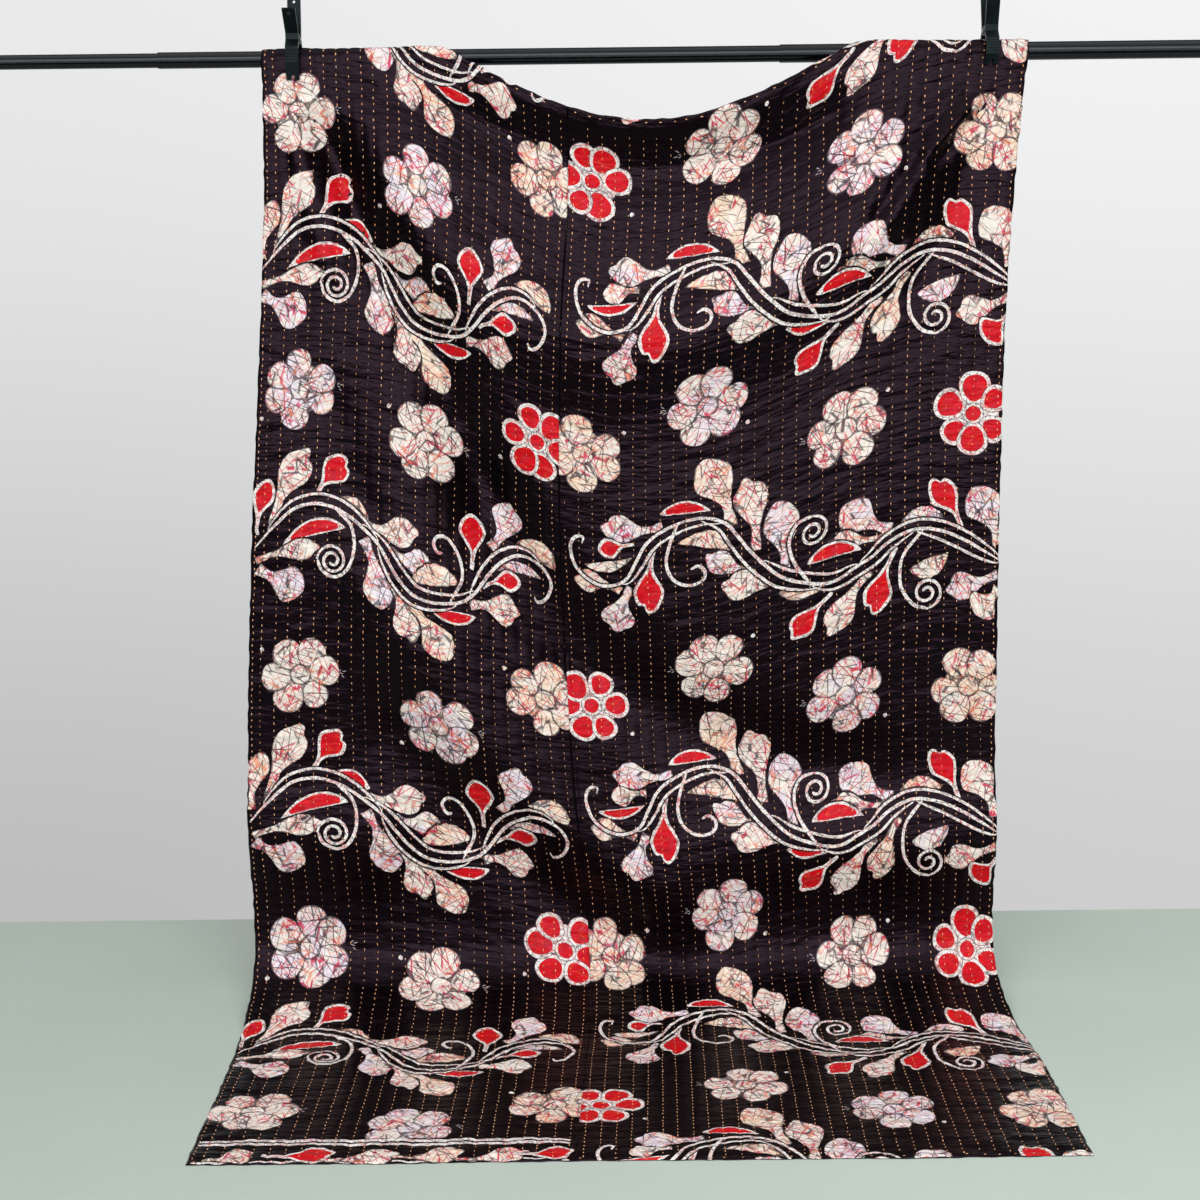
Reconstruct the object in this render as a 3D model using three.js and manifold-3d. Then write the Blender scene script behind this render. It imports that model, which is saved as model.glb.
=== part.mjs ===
// A kantha quilt hung over a telescoping crossbar and held by two spring clamps.
// Millimetres, +Z up. The crossbar runs along X, the quilt's printed face looks along -Y,
// and its foot runs forward over the floor at Z = 0.

import * as THREE from 'three';
import { mergeVertices } from 'three/addons/utils/BufferGeometryUtils.js';
import Module from 'manifold-3d';

const wasm = await Module();
wasm.setup();

// Quilt, as it lies flat
const LEFT_PANEL_WIDTH = 571;
const RIGHT_PANEL_WIDTH = 759;
const SEAM_GAP = 0.3;
const QUILT_THICKNESS = 3;
const STITCH_PITCH = 23.3;
const CHANNEL_PITCH = 2 * STITCH_PITCH;
const CHANNEL_PUFF = 1.1;

// Crossbar: three tubes, each sliding into the next
const BAR_AXIS_HEIGHT = 1636;
const BAR_HALF_LENGTH = 1040;
const BAR_RADIUS = { thin: 12, mid: 13.5, thick: 15 };
const BAR_STEP = { thinToMid: -731, midToThick: 312 };
const BAR_OVERLAP = 70;
const BAR_SLIDE_GAP = 0.3;
const BAR_SIDES = 28;

// How the quilt hangs
const CLOTH_CLEARANCE = 1.35;
const EDGE_CLEARANCE = 2;
const HEM_CROSSING = 24;
const BAR_STEP_EASE = { from: 600, to: 850 };
const FOOT_BEND_RADIUS = 220;
const FLOOR_RUN = 445;
const CORNER_FLAP = 48;
const SWAG_DEPTH = 134;
const SWAG_CENTRE = 715;
const SWAG_REACH = { left: 612, right: 546 };
const SWAG_LIP = 20;
const SWAG_LIP_WIDTH = 45;
const FOLD_START = { from: 62, to: 130 };
// Share of the foot's bend over which the folds flatten out
const FOLD_END = { from: 0.35, to: 0.95 };

// Sections down the quilt: drop along the cloth from the crossbar's crest, the places of
// its left edge, seam and right edge, and how far the cloth stands forward of the crossbar
const SECTIONS = [
  { drop: 0, left: -556, seam: -46, right: 729, forward: 0 },
  { drop: 235, left: -558, seam: -46, right: 707, forward: 12 },
  { drop: 500, left: -574, seam: -62, right: 693, forward: 26 },
  { drop: 845, left: -599, seam: -68, right: 688, forward: 46 },
  { drop: 1200, left: -621, seam: -54, right: 691, forward: 42 },
  { drop: 1500, left: -626, seam: -30, right: 696, forward: 30 },
  { drop: 1680, left: -623, seam: -24, right: 700, forward: 26 },
  { drop: 1893, left: -617, seam: -32, right: 714, forward: 26 },
  { drop: 2243, left: -616, seam: -46, right: 712, forward: 26 },
];

// Main folds, each a soft ridge (height above 0) or trough (below 0) along a bowed line from
// its start, pulled towards its bow point, to its end: places are across (X) and down (drop)
const FOLDS = [
  { name: 'swag bulge', x0: -470, d0: 60, xb: 30, db: 960, x1: 640, d1: 60, height: 34, width: 92 },
  { name: 'swag hollow', x0: -330, d0: 40, xb: 75, db: 400, x1: 520, d1: 40, height: -22, width: 50 },
  { name: 'clamp trough', x0: -495, d0: 80, xb: -300, db: 420, x1: -150, d1: 900, height: -26, width: 50 },
  { name: 'long trough', x0: -260, d0: 560, xb: -80, db: 1300, x1: 600, d1: 1265, height: -36, width: 74 },
  { name: 'long ridge', x0: -420, d0: 760, xb: -280, db: 1300, x1: 300, d1: 1600, height: 28, width: 74 },
  { name: 'low trough', x0: -420, d0: 1080, xb: -200, db: 1475, x1: 220, d1: 1650, height: -20, width: 58 },
  { name: 'left low ridge', x0: -860, d0: 1330, xb: -560, db: 1350, x1: -330, d1: 1390, height: 24, width: 88 },
  { name: 'right low ridge', x0: 60, d0: 1420, xb: 380, db: 1390, x1: 960, d1: 1370, height: 28, width: 88 },
  { name: 'foot trough', x0: -900, d0: 1600, xb: 40, db: 1630, x1: 980, d1: 1590, height: -36, width: 90 },
  { name: 'left trough', x0: -470, d0: 545, xb: -420, db: 760, x1: -330, d1: 1000, height: -10, width: 36 },
  { name: 'left clamp ridge', x0: -505, d0: 60, xb: -485, db: 200, x1: -420, d1: 330, height: 8, width: 26 },
  { name: 'right clamp ridge', x0: 650, d0: 50, xb: 540, db: 240, x1: 430, d1: 400, height: 9, width: 24 },
  { name: 'right clamp trough', x0: 610, d0: 50, xb: 500, db: 180, x1: 400, d1: 280, height: -8, width: 24 },
  { name: 'right edge trough', x0: 690, d0: 60, xb: 600, db: 300, x1: 520, d1: 470, height: -9, width: 28 },
];
const FOLD_STEPS = 16;
const FOLD_TAPER = 0.16;

// Rows of points down the quilt: how many, as far as this length from the top hem at a corner
const ROW_BANDS = [
  { rows: 10, upTo: 108 },
  { rows: 23, upTo: 1440 },
  { rows: 11, upTo: 1850 },
  { rows: 3, upTo: Infinity },
];

// Spring clamps
const CLAMP_WIDTH = 22;
const CLAMP_PAD_GAP = 0.45;
const PIVOT_ABOVE_CLOTH = 12.5;
const EAR_RADIUS = 8;
const EAR_THICKNESS = 3.4;
const EAR_SPLIT = 0.4;
const EAR_STEPS = 12;
const EAR_ROOT = { into: 3, narrower: 1 };
const PIN_RADIUS = 2.5;
const PIN_SIDES = 16;
const PIN_HEAD = { radius: 4, thickness: 1.4 };
const BORE_GAP = 0.3;
const JAW_THICKNESS = 7;
const RIB = { count: 5, pitch: 5, height: 1.2, width: 3 };
const RIB_CHAMFER = 0.6;
const JAW_TIP_THICKNESS = 2.6;
// Above the jaw: shoulder below the ears, ease at its corners, relief of the pad's top
const SHOULDER = { below: 6, ease: 3, relief: 2.5, reliefUp: 1, backIn: 2 };
// Beside the pivot: gap to the ears, thickness over the handle's, and heights about the pin
const WAIST = { gap: 1.5, extra: 1.5, innerFoot: 4, innerTop: 5, outerFoot: 1, outerTop: 9 };
const HANDLE_THICKNESS = 5.5;
// Rounding of the handle's end: shares of its thickness, and drops below its top
const HANDLE_ROUND = { innerDrop: 1.5, crest: 0.6, shoulder: 0.15, shoulderDrop: 0.4, outerDrop: 3 };
const HANDLE_HOLE = { radius: 2.6, fromEnd: 9, sides: 14 };
const TIP_NOTCH = { width: 5, depth: 9 };
const SPRING = { turns: 3, wire: 2.1, valley: 0.6, ridge: 0.3 };
const CLAMPS = [
  { name: 'left', x: -503, barRadius: BAR_RADIUS.mid, tipDrop: 36, frontOut: 46, frontUp: 78, backOut: 24, backUp: 104 },
  { name: 'right', x: 664, barRadius: BAR_RADIUS.thick, tipDrop: 24, frontOut: 31, frontUp: 97, backOut: 31, backUp: 97 },
];

// Colours and finishes
const aubergineCotton = new THREE.MeshStandardMaterial({ color: 0x231c23, roughness: 0.9, metalness: 0 });
const blackPaint = new THREE.MeshStandardMaterial({ color: 0x16181b, roughness: 0.42, metalness: 0.3 });
const blackPlastic = new THREE.MeshStandardMaterial({ color: 0x101012, roughness: 0.55, metalness: 0 });
const springSteel = new THREE.MeshStandardMaterial({ color: 0x4a4c50, roughness: 0.35, metalness: 1 });

const object = new THREE.Group();

function addMesh(name, geometry, material) {
  const mesh = new THREE.Mesh(geometry, material);
  mesh.name = name;
  object.add(mesh);
  return mesh;
}

const lerp = THREE.MathUtils.lerp;

function smoothstep(from, to, value) {
  return THREE.MathUtils.smoothstep(value, from, to);
}

// A column of the sections table at a drop, on a smooth curve through its rows
function section(column, drop) {
  const last = SECTIONS.length - 1;
  let i = 0;
  while (i < last - 1 && drop > SECTIONS[i + 1].drop) i += 1;
  const at = (k) => SECTIONS[THREE.MathUtils.clamp(k, 0, last)];
  const span = at(i + 1).drop - at(i).drop;
  const s = THREE.MathUtils.clamp((drop - at(i).drop) / span, 0, 1);
  const slope = (k) => (at(k + 1)[column] - at(k - 1)[column]) / (at(k + 1).drop - at(k - 1).drop);
  const a = at(i)[column];
  const b = at(i + 1)[column];
  const ma = slope(i) * span;
  const mb = slope(i + 1) * span;
  const s2 = s * s;
  const s3 = s2 * s;
  return a * (2 * s3 - 3 * s2 + 1) + ma * (s3 - 2 * s2 + s) + b * (3 * s2 - 2 * s3) + mb * (s3 - s2);
}

// Drop of the top hem below the crest: the corners are folded back over the bar (below 0),
// and between the clamps the hem hangs as a swag in front of it
function hemDrop(flatX) {
  const reach = flatX < SWAG_CENTRE ? SWAG_REACH.left : SWAG_REACH.right;
  const angle = Math.min(1, Math.abs(flatX - SWAG_CENTRE) / reach) * Math.PI / 2;
  return -CORNER_FLAP + (CORNER_FLAP + SWAG_DEPTH) * Math.cos(angle) ** 2;
}

// Radius of the cloth's middle layer round the bar, a little wider where the hem crosses it
function wrapRadius(flatX) {
  const bar = lerp(BAR_RADIUS.mid, BAR_RADIUS.thick, smoothstep(BAR_STEP_EASE.from, BAR_STEP_EASE.to, flatX));
  const crossing = Math.exp(-((hemDrop(flatX) / HEM_CROSSING) ** 2));
  return bar + CLOTH_CLEARANCE + EDGE_CLEARANCE * crossing + QUILT_THICKNESS / 2;
}

const FLOOR_MIDDLE = QUILT_THICKNESS / 2;

// Side profile of the hanging cloth: place (y, z) and forward normal (ny, nz) at a drop
function sideProfile(drop, radius) {
  const quarter = radius * Math.PI / 2;
  const straight = BAR_AXIS_HEIGHT - FLOOR_MIDDLE - FOOT_BEND_RADIUS;
  const bend = FOOT_BEND_RADIUS * Math.PI / 2;
  if (drop < -quarter) {
    return { y: radius, z: BAR_AXIS_HEIGHT + drop + quarter, ny: 1, nz: 0, foot: 0 };
  }
  if (drop < quarter) {
    const a = drop / radius;
    const ny = -Math.sin(a);
    const nz = Math.cos(a);
    return { y: radius * ny, z: BAR_AXIS_HEIGHT + radius * nz, ny, nz, foot: 0 };
  }
  const down = drop - quarter;
  if (down < straight) {
    return { y: -radius, z: BAR_AXIS_HEIGHT - down, ny: -1, nz: 0, foot: 0 };
  }
  const a = Math.min(Math.PI / 2, (down - straight) / FOOT_BEND_RADIUS);
  const run = Math.max(0, down - straight - bend);
  const y = -radius - FOOT_BEND_RADIUS * (1 - Math.cos(a)) - run;
  const z = FLOOR_MIDDLE + FOOT_BEND_RADIUS * (1 - Math.sin(a));
  return { y, z, ny: -Math.cos(a), nz: Math.sin(a), foot: a / (Math.PI / 2) };
}

function frontLength(radius) {
  const straight = BAR_AXIS_HEIGHT - FLOOR_MIDDLE - FOOT_BEND_RADIUS;
  return (radius + FOOT_BEND_RADIUS) * Math.PI / 2 + straight + FLOOR_RUN;
}

function foldLine(fold) {
  const points = [];
  for (let k = 0; k <= FOLD_STEPS; k += 1) {
    const s = k / FOLD_STEPS;
    const a = (1 - s) ** 2;
    const b = 2 * s * (1 - s);
    const c = s * s;
    const ends = smoothstep(0, FOLD_TAPER, s) * smoothstep(0, FOLD_TAPER, 1 - s);
    points.push({
      x: a * fold.x0 + b * fold.xb + c * fold.x1,
      d: a * fold.d0 + b * fold.db + c * fold.d1,
      strength: ends,
    });
  }
  return points;
}

const foldLines = FOLDS.map(foldLine);

// How far one fold lifts the cloth at a place
function foldHeight(index, x, drop) {
  const line = foldLines[index];
  const { height, width } = FOLDS[index];
  let nearest = Infinity;
  let strength = 0;
  for (let k = 1; k < line.length; k += 1) {
    const a = line[k - 1];
    const b = line[k];
    const dx = b.x - a.x;
    const dd = b.d - a.d;
    const along = THREE.MathUtils.clamp(((x - a.x) * dx + (drop - a.d) * dd) / (dx * dx + dd * dd), 0, 1);
    const away = Math.hypot(x - a.x - along * dx, drop - a.d - along * dd);
    if (away < nearest) {
      nearest = away;
      strength = lerp(a.strength, b.strength, along);
    }
  }
  return height * strength * Math.exp(-((nearest / width) ** 2));
}

// All the folds and the swag's lip together
function foldSum(x, flatX, drop, foot) {
  const hem = hemDrop(flatX);
  const middle = Math.max(0, hem / SWAG_DEPTH);
  const lip = SWAG_LIP * middle * Math.exp(-(((drop - hem) / SWAG_LIP_WIDTH) ** 2));
  const start = lerp(smoothstep(FOLD_START.from, FOLD_START.to, drop), 1, middle);
  const end = 1 - smoothstep(FOLD_END.from, FOLD_END.to, foot);
  return lip + FOLDS.reduce((sum, _, i) => sum + foldHeight(i, x, drop), 0) * start * end;
}

// Middle layer of the quilt at a flat place: x from its left edge, share of its length from the top hem
function clothPoint(flatX, share) {
  const radius = wrapRadius(flatX);
  const hem = hemDrop(flatX);
  const drop = lerp(hem, frontLength(radius), share);
  const seam = section('seam', drop);
  const onLeft = flatX < LEFT_PANEL_WIDTH;
  const x = onLeft
    ? lerp(section('left', drop), seam, flatX / LEFT_PANEL_WIDTH)
    : lerp(seam, section('right', drop), (flatX - LEFT_PANEL_WIDTH) / RIGHT_PANEL_WIDTH);
  const side = sideProfile(drop, radius);
  const lift = foldSum(x, flatX, drop, side.foot);
  const forward = section('forward', drop) * smoothstep(FOLD_START.from, FOLD_START.to, drop);
  return new THREE.Vector3(x, side.y + lift * side.ny - forward, side.z + lift * side.nz);
}

// Outward direction of the printed face; both edges of the seam take the seam's own
function clothNormal(flatX, share) {
  const stepX = 1;
  const stepShare = 0.0006;
  const x = Math.abs(flatX - LEFT_PANEL_WIDTH) < SEAM_GAP ? LEFT_PANEL_WIDTH : flatX;
  const west = clothPoint(x - stepX, share);
  const east = clothPoint(x + stepX, share);
  const up = clothPoint(x, share - stepShare);
  const down = clothPoint(x, share + stepShare);
  return down.sub(up).cross(east.sub(west)).normalize();
}

function rowShares() {
  const whole = CORNER_FLAP + frontLength(wrapRadius(0));
  const shares = [0];
  let from = 0;
  for (const band of ROW_BANDS) {
    const to = Math.min(band.upTo, whole);
    for (let k = 1; k <= band.rows; k += 1) shares.push(lerp(from, to, k / band.rows) / whole);
    from = to;
  }
  return shares;
}

// One panel as a closed sheet: its front is raised in channels between the lines of stitching
function panelGeometry(fromX, toX) {
  const channels = Math.round((toX - fromX) / CHANNEL_PITCH);
  const columns = channels * 2;
  const shares = rowShares();
  const rows = shares.length - 1;
  const positions = [];
  const index = [];
  const half = QUILT_THICKNESS / 2;
  for (const face of ['front', 'back']) {
    for (let r = 0; r <= rows; r += 1) {
      for (let c = 0; c <= columns; c += 1) {
        const flatX = lerp(fromX, toX, c / columns);
        const puff = c % 2 === 1 ? CHANNEL_PUFF : 0;
        const out = face === 'front' ? half + puff : -half;
        const point = clothPoint(flatX, shares[r]).addScaledVector(clothNormal(flatX, shares[r]), out);
        positions.push(point.x, point.y, point.z);
      }
    }
  }
  const front = (r, c) => r * (columns + 1) + c;
  const back = (r, c) => (rows + 1) * (columns + 1) + front(r, c);
  const apart = (i, j) => Math.hypot(
    positions[i * 3] - positions[j * 3],
    positions[i * 3 + 1] - positions[j * 3 + 1],
    positions[i * 3 + 2] - positions[j * 3 + 2],
  );
  // Four corners in turn, split along the shorter diagonal
  const quad = (a, b, c, d) => {
    if (apart(a, c) < apart(b, d)) index.push(a, b, c, a, c, d);
    else index.push(a, b, d, b, c, d);
  };
  for (let r = 0; r < rows; r += 1) {
    for (let c = 0; c < columns; c += 1) {
      quad(front(r, c), front(r + 1, c), front(r + 1, c + 1), front(r, c + 1));
      quad(back(r, c), back(r, c + 1), back(r + 1, c + 1), back(r + 1, c));
    }
  }
  const rim = [];
  for (let r = 0; r < rows; r += 1) rim.push([r, 0, r + 1, 0]);
  for (let c = 0; c < columns; c += 1) rim.push([rows, c, rows, c + 1]);
  for (let r = rows; r > 0; r -= 1) rim.push([r, columns, r - 1, columns]);
  for (let c = columns; c > 0; c -= 1) rim.push([0, c, 0, c - 1]);
  for (const [r0, c0, r1, c1] of rim) {
    const [f0, f1, k0, k1] = [front(r0, c0), front(r1, c1), back(r0, c0), back(r1, c1)];
    // Both edges of the seam are split along the same diagonals, so that they stay parallel
    if (r1 > r0) index.push(f1, f0, k1, f0, k0, k1);
    else index.push(f1, f0, k0, f1, k0, k1);
  }
  const geometry = new THREE.BufferGeometry();
  geometry.setAttribute('position', new THREE.Float32BufferAttribute(positions, 3));
  geometry.setIndex(index);
  geometry.computeVertexNormals();
  return geometry;
}

function buildQuilt() {
  const seam = LEFT_PANEL_WIDTH;
  addMesh('quilt_left_panel', panelGeometry(0, seam - SEAM_GAP / 2), aubergineCotton);
  addMesh('quilt_right_panel', panelGeometry(seam + SEAM_GAP / 2, seam + RIGHT_PANEL_WIDTH), aubergineCotton);
}

// A turned piece along X: profile pairs are (place along X, radius)
function turnedAlongX(profile, sides) {
  const points = profile.map(([x, radius]) => new THREE.Vector2(radius, x));
  const geometry = new THREE.LatheGeometry(points, sides);
  geometry.rotateZ(-Math.PI / 2);
  return geometry;
}

function buildBar() {
  const { thin, mid, thick } = BAR_RADIUS;
  const { thinToMid, midToThick } = BAR_STEP;
  const end = BAR_HALF_LENGTH;
  const socketEnd = BAR_SLIDE_GAP;
  const tube = (name, profile) => {
    addMesh(name, turnedAlongX(profile, BAR_SIDES), blackPaint).position.z = BAR_AXIS_HEIGHT;
  };
  tube('bar_thin_tube', [[-end, 0], [-end, thin], [thinToMid + BAR_OVERLAP, thin], [thinToMid + BAR_OVERLAP, 0]]);
  const midSocket = thin + BAR_SLIDE_GAP;
  const midFloor = thinToMid + BAR_OVERLAP + socketEnd;
  tube('bar_mid_tube', [
    [midFloor, 0], [midFloor, midSocket], [thinToMid, midSocket], [thinToMid, mid],
    [midToThick + BAR_OVERLAP, mid], [midToThick + BAR_OVERLAP, 0],
  ]);
  const thickSocket = mid + BAR_SLIDE_GAP;
  const thickFloor = midToThick + BAR_OVERLAP + socketEnd;
  tube('bar_thick_tube', [
    [thickFloor, 0], [thickFloor, thickSocket], [midToThick, thickSocket], [midToThick, thick],
    [end, thick], [end, 0],
  ]);
}

function toSolid(geometry) {
  const bare = geometry.clone();
  bare.deleteAttribute('normal');
  bare.deleteAttribute('uv');
  const merged = mergeVertices(bare, 1e-4);
  const vertProperties = new Float32Array(merged.attributes.position.array);
  const triVerts = new Uint32Array(merged.index.array);
  return new wasm.Manifold(new wasm.Mesh({ numProp: 3, vertProperties, triVerts }));
}

function toGeometry(solid) {
  const mesh = solid.getMesh();
  const geometry = new THREE.BufferGeometry();
  geometry.setAttribute('position', new THREE.Float32BufferAttribute(mesh.vertProperties, 3));
  geometry.setIndex(Array.from(mesh.triVerts));
  geometry.computeVertexNormals();
  return geometry;
}

// A side outline in (out from the bar, up), pushed out along X between two places
function plateAlongX(outline, fromX, toX) {
  const shape = new THREE.Shape(outline.map(([out, up]) => new THREE.Vector2(out, up)));
  const geometry = new THREE.ExtrudeGeometry(shape, { depth: toX - fromX, bevelEnabled: false });
  const axes = new THREE.Matrix4().makeBasis(
    new THREE.Vector3(0, 1, 0),
    new THREE.Vector3(0, 0, 1),
    new THREE.Vector3(1, 0, 0),
  );
  geometry.applyMatrix4(axes);
  geometry.translate(fromX, 0, 0);
  return toSolid(geometry);
}

function rodAlong(axis, radius, length, sides) {
  const geometry = new THREE.CylinderGeometry(radius, radius, length, sides);
  if (axis === 'x') geometry.rotateZ(Math.PI / 2);
  return geometry;
}

// Outline of one lever: ribbed jaw beside the cloth, waist beside the pivot, handle above
function leverOutline(clamp, padOut, pivotUp, handleOut, handleUp) {
  const jawOut = padOut + JAW_THICKNESS;
  const waistIn = EAR_RADIUS + WAIST.gap;
  const waistOut = waistIn + HANDLE_THICKNESS + WAIST.extra;
  const shoulder = pivotUp - EAR_RADIUS - SHOULDER.below;
  const outline = [
    [padOut, -clamp.tipDrop],
    [padOut, shoulder - SHOULDER.ease],
    [padOut - SHOULDER.relief, shoulder + SHOULDER.reliefUp],
    [waistIn, pivotUp - WAIST.innerFoot],
    [waistIn, pivotUp + WAIST.innerTop],
    [handleOut - HANDLE_THICKNESS, handleUp - HANDLE_ROUND.innerDrop],
    [handleOut - HANDLE_THICKNESS * HANDLE_ROUND.crest, handleUp],
    [handleOut - HANDLE_THICKNESS * HANDLE_ROUND.shoulder, handleUp - HANDLE_ROUND.shoulderDrop],
    [handleOut, handleUp - HANDLE_ROUND.outerDrop],
    [waistOut, pivotUp + WAIST.outerTop],
    [waistOut, pivotUp - WAIST.outerFoot],
    [jawOut - SHOULDER.backIn, shoulder + SHOULDER.ease],
    [jawOut, shoulder],
  ];
  for (let k = 0; k < RIB.count; k += 1) {
    const top = shoulder - SHOULDER.ease - k * RIB.pitch;
    const foot = top - RIB.width;
    const crest = jawOut + RIB.height;
    outline.push([jawOut, top], [crest, top - RIB_CHAMFER], [crest, foot + RIB_CHAMFER], [jawOut, foot]);
  }
  outline.push([padOut + JAW_TIP_THICKNESS, -clamp.tipDrop]);
  return outline;
}

// The ear that carries the pivot, from the waist round the pin
function earOutline(pivotUp) {
  const waist = EAR_RADIUS + EAR_ROOT.into;
  const rootHalf = EAR_RADIUS - EAR_ROOT.narrower;
  const outline = [[waist, pivotUp - rootHalf], [waist, pivotUp + rootHalf]];
  for (let k = 0; k <= EAR_STEPS; k += 1) {
    const a = Math.PI / 2 + Math.PI * k / EAR_STEPS;
    outline.push([EAR_RADIUS * Math.cos(a), pivotUp + EAR_RADIUS * Math.sin(a)]);
  }
  return outline;
}

// One lever of a clamp; the front lever's ears sit outside the back lever's
function leverGeometry(clamp, isFront, padOut, pivotUp) {
  const handleOut = isFront ? clamp.frontOut : clamp.backOut;
  const handleUp = isFront ? clamp.frontUp : clamp.backUp;
  const half = CLAMP_WIDTH / 2;
  const earEnd = isFront ? half : half - EAR_THICKNESS - EAR_SPLIT;
  let solid = plateAlongX(leverOutline(clamp, padOut, pivotUp, handleOut, handleUp), -half, half);
  const ear = earOutline(pivotUp);
  solid = solid.add(plateAlongX(ear, earEnd - EAR_THICKNESS, earEnd));
  solid = solid.add(plateAlongX(ear, -earEnd, -earEnd + EAR_THICKNESS));
  const bore = rodAlong('x', PIN_RADIUS + BORE_GAP, CLAMP_WIDTH * 2, PIN_SIDES).translate(0, 0, pivotUp);
  solid = solid.subtract(toSolid(bore));
  const holeUp = handleUp - HANDLE_HOLE.fromEnd;
  const hole = rodAlong('y', HANDLE_HOLE.radius, handleOut * 2, HANDLE_HOLE.sides).translate(0, handleOut, holeUp);
  solid = solid.subtract(toSolid(hole));
  const notch = new THREE.BoxGeometry(TIP_NOTCH.width, JAW_THICKNESS * 4, TIP_NOTCH.depth * 2);
  notch.translate(0, padOut, -clamp.tipDrop);
  solid = solid.subtract(toSolid(notch));
  const geometry = toGeometry(solid);
  if (isFront) geometry.rotateZ(Math.PI);
  return geometry;
}

// The coiled spring on the pin, as one ridged sleeve
function springGeometry() {
  const inner = PIN_RADIUS + BORE_GAP;
  const length = SPRING.turns * SPRING.wire;
  const profile = [[-length / 2, inner]];
  for (let k = 0; k < SPRING.turns; k += 1) {
    const from = -length / 2 + k * SPRING.wire;
    const crest = inner + SPRING.wire;
    profile.push([from, crest - SPRING.valley], [from + SPRING.wire / 2, crest + SPRING.ridge]);
  }
  const lastValley = inner + SPRING.wire - SPRING.valley;
  profile.push([length / 2, lastValley], [length / 2, inner], [-length / 2, inner]);
  return turnedAlongX(profile, PIN_SIDES);
}

function pinGeometry() {
  const reach = CLAMP_WIDTH / 2 + BORE_GAP;
  const head = reach + PIN_HEAD.thickness;
  return turnedAlongX([
    [-head, 0], [-head, PIN_HEAD.radius], [-reach, PIN_HEAD.radius], [-reach, PIN_RADIUS],
    [reach, PIN_RADIUS], [reach, PIN_HEAD.radius], [head, PIN_HEAD.radius], [head, 0],
  ], PIN_SIDES);
}

function buildClamp(clamp) {
  const clothOut = clamp.barRadius + CLOTH_CLEARANCE + QUILT_THICKNESS + CHANNEL_PUFF;
  const padOut = clothOut + CLAMP_PAD_GAP;
  const pivotUp = clothOut + PIVOT_ABOVE_CLOTH;
  const pieces = [
    [`clamp_${clamp.name}_front_lever`, leverGeometry(clamp, true, padOut, pivotUp), blackPlastic, 0],
    [`clamp_${clamp.name}_back_lever`, leverGeometry(clamp, false, padOut, pivotUp), blackPlastic, 0],
    [`clamp_${clamp.name}_pin`, pinGeometry(), springSteel, pivotUp],
    [`clamp_${clamp.name}_spring`, springGeometry(), springSteel, pivotUp],
  ];
  for (const [name, geometry, material, up] of pieces) {
    addMesh(name, geometry, material).position.set(clamp.x, 0, BAR_AXIS_HEIGHT + up);
  }
}

buildQuilt();
buildBar();
CLAMPS.forEach(buildClamp);

// Stand the whole on the floor, with the middle of its footprint at the origin
const box = new THREE.Box3().setFromObject(object, true);
const centre = box.getCenter(new THREE.Vector3());
object.position.set(-centre.x, -centre.y, -box.min.z);
object.updateMatrixWorld(true);

export default object;
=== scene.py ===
# A kantha quilt hung over a crossbar and held by two spring clamps: its looks.
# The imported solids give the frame, in metres. The cloth's own sizes are in millimetres.

import math

import bpy
import numpy as np
from mathutils import Matrix, Vector
from mathutils.geometry import delaunay_2d_cdt
from mathutils.kdtree import KDTree


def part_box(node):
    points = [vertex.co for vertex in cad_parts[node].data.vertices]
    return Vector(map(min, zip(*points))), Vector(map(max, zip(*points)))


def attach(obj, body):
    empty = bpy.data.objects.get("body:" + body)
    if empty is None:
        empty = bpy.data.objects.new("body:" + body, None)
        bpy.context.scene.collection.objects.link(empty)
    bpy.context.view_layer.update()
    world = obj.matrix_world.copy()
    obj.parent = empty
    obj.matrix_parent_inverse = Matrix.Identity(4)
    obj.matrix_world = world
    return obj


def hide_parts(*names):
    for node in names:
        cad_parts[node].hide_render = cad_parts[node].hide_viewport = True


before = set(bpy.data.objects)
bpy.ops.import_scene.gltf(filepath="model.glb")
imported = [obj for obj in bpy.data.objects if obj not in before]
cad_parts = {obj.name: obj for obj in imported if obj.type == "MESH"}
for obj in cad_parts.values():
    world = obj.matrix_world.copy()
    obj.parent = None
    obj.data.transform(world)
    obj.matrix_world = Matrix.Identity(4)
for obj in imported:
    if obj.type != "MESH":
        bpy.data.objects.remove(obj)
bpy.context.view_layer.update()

MM = 0.001
bar_low, bar_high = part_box("bar_mid_tube")
BAR_Y = (bar_low.y + bar_high.y) / 2
BAR_Z = (bar_low.z + bar_high.z) / 2

# Camera, as the photograph was taken: sensor (mm), photo and focal length (pixels), distance from the bar
# and height (m), and how it is turned
CAMERA_SENSOR = 36.0
PHOTO_SIZE = 1200
CAMERA_FOCUS = 1900
CAMERA_DISTANCE = 3.30
CAMERA_HEIGHT = 1.29
CAMERA_PITCH = math.radians(10.0)
CAMERA_ROLL = math.radians(0.65)

# Quilt, as it lies flat (mm)
LEFT_WIDTH = 571.0
RIGHT_WIDTH = 759.0
QUILT_WIDTH = LEFT_WIDTH + RIGHT_WIDTH
QUILT_LENGTH = 2273.0
THICKNESS = 3.0

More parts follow.
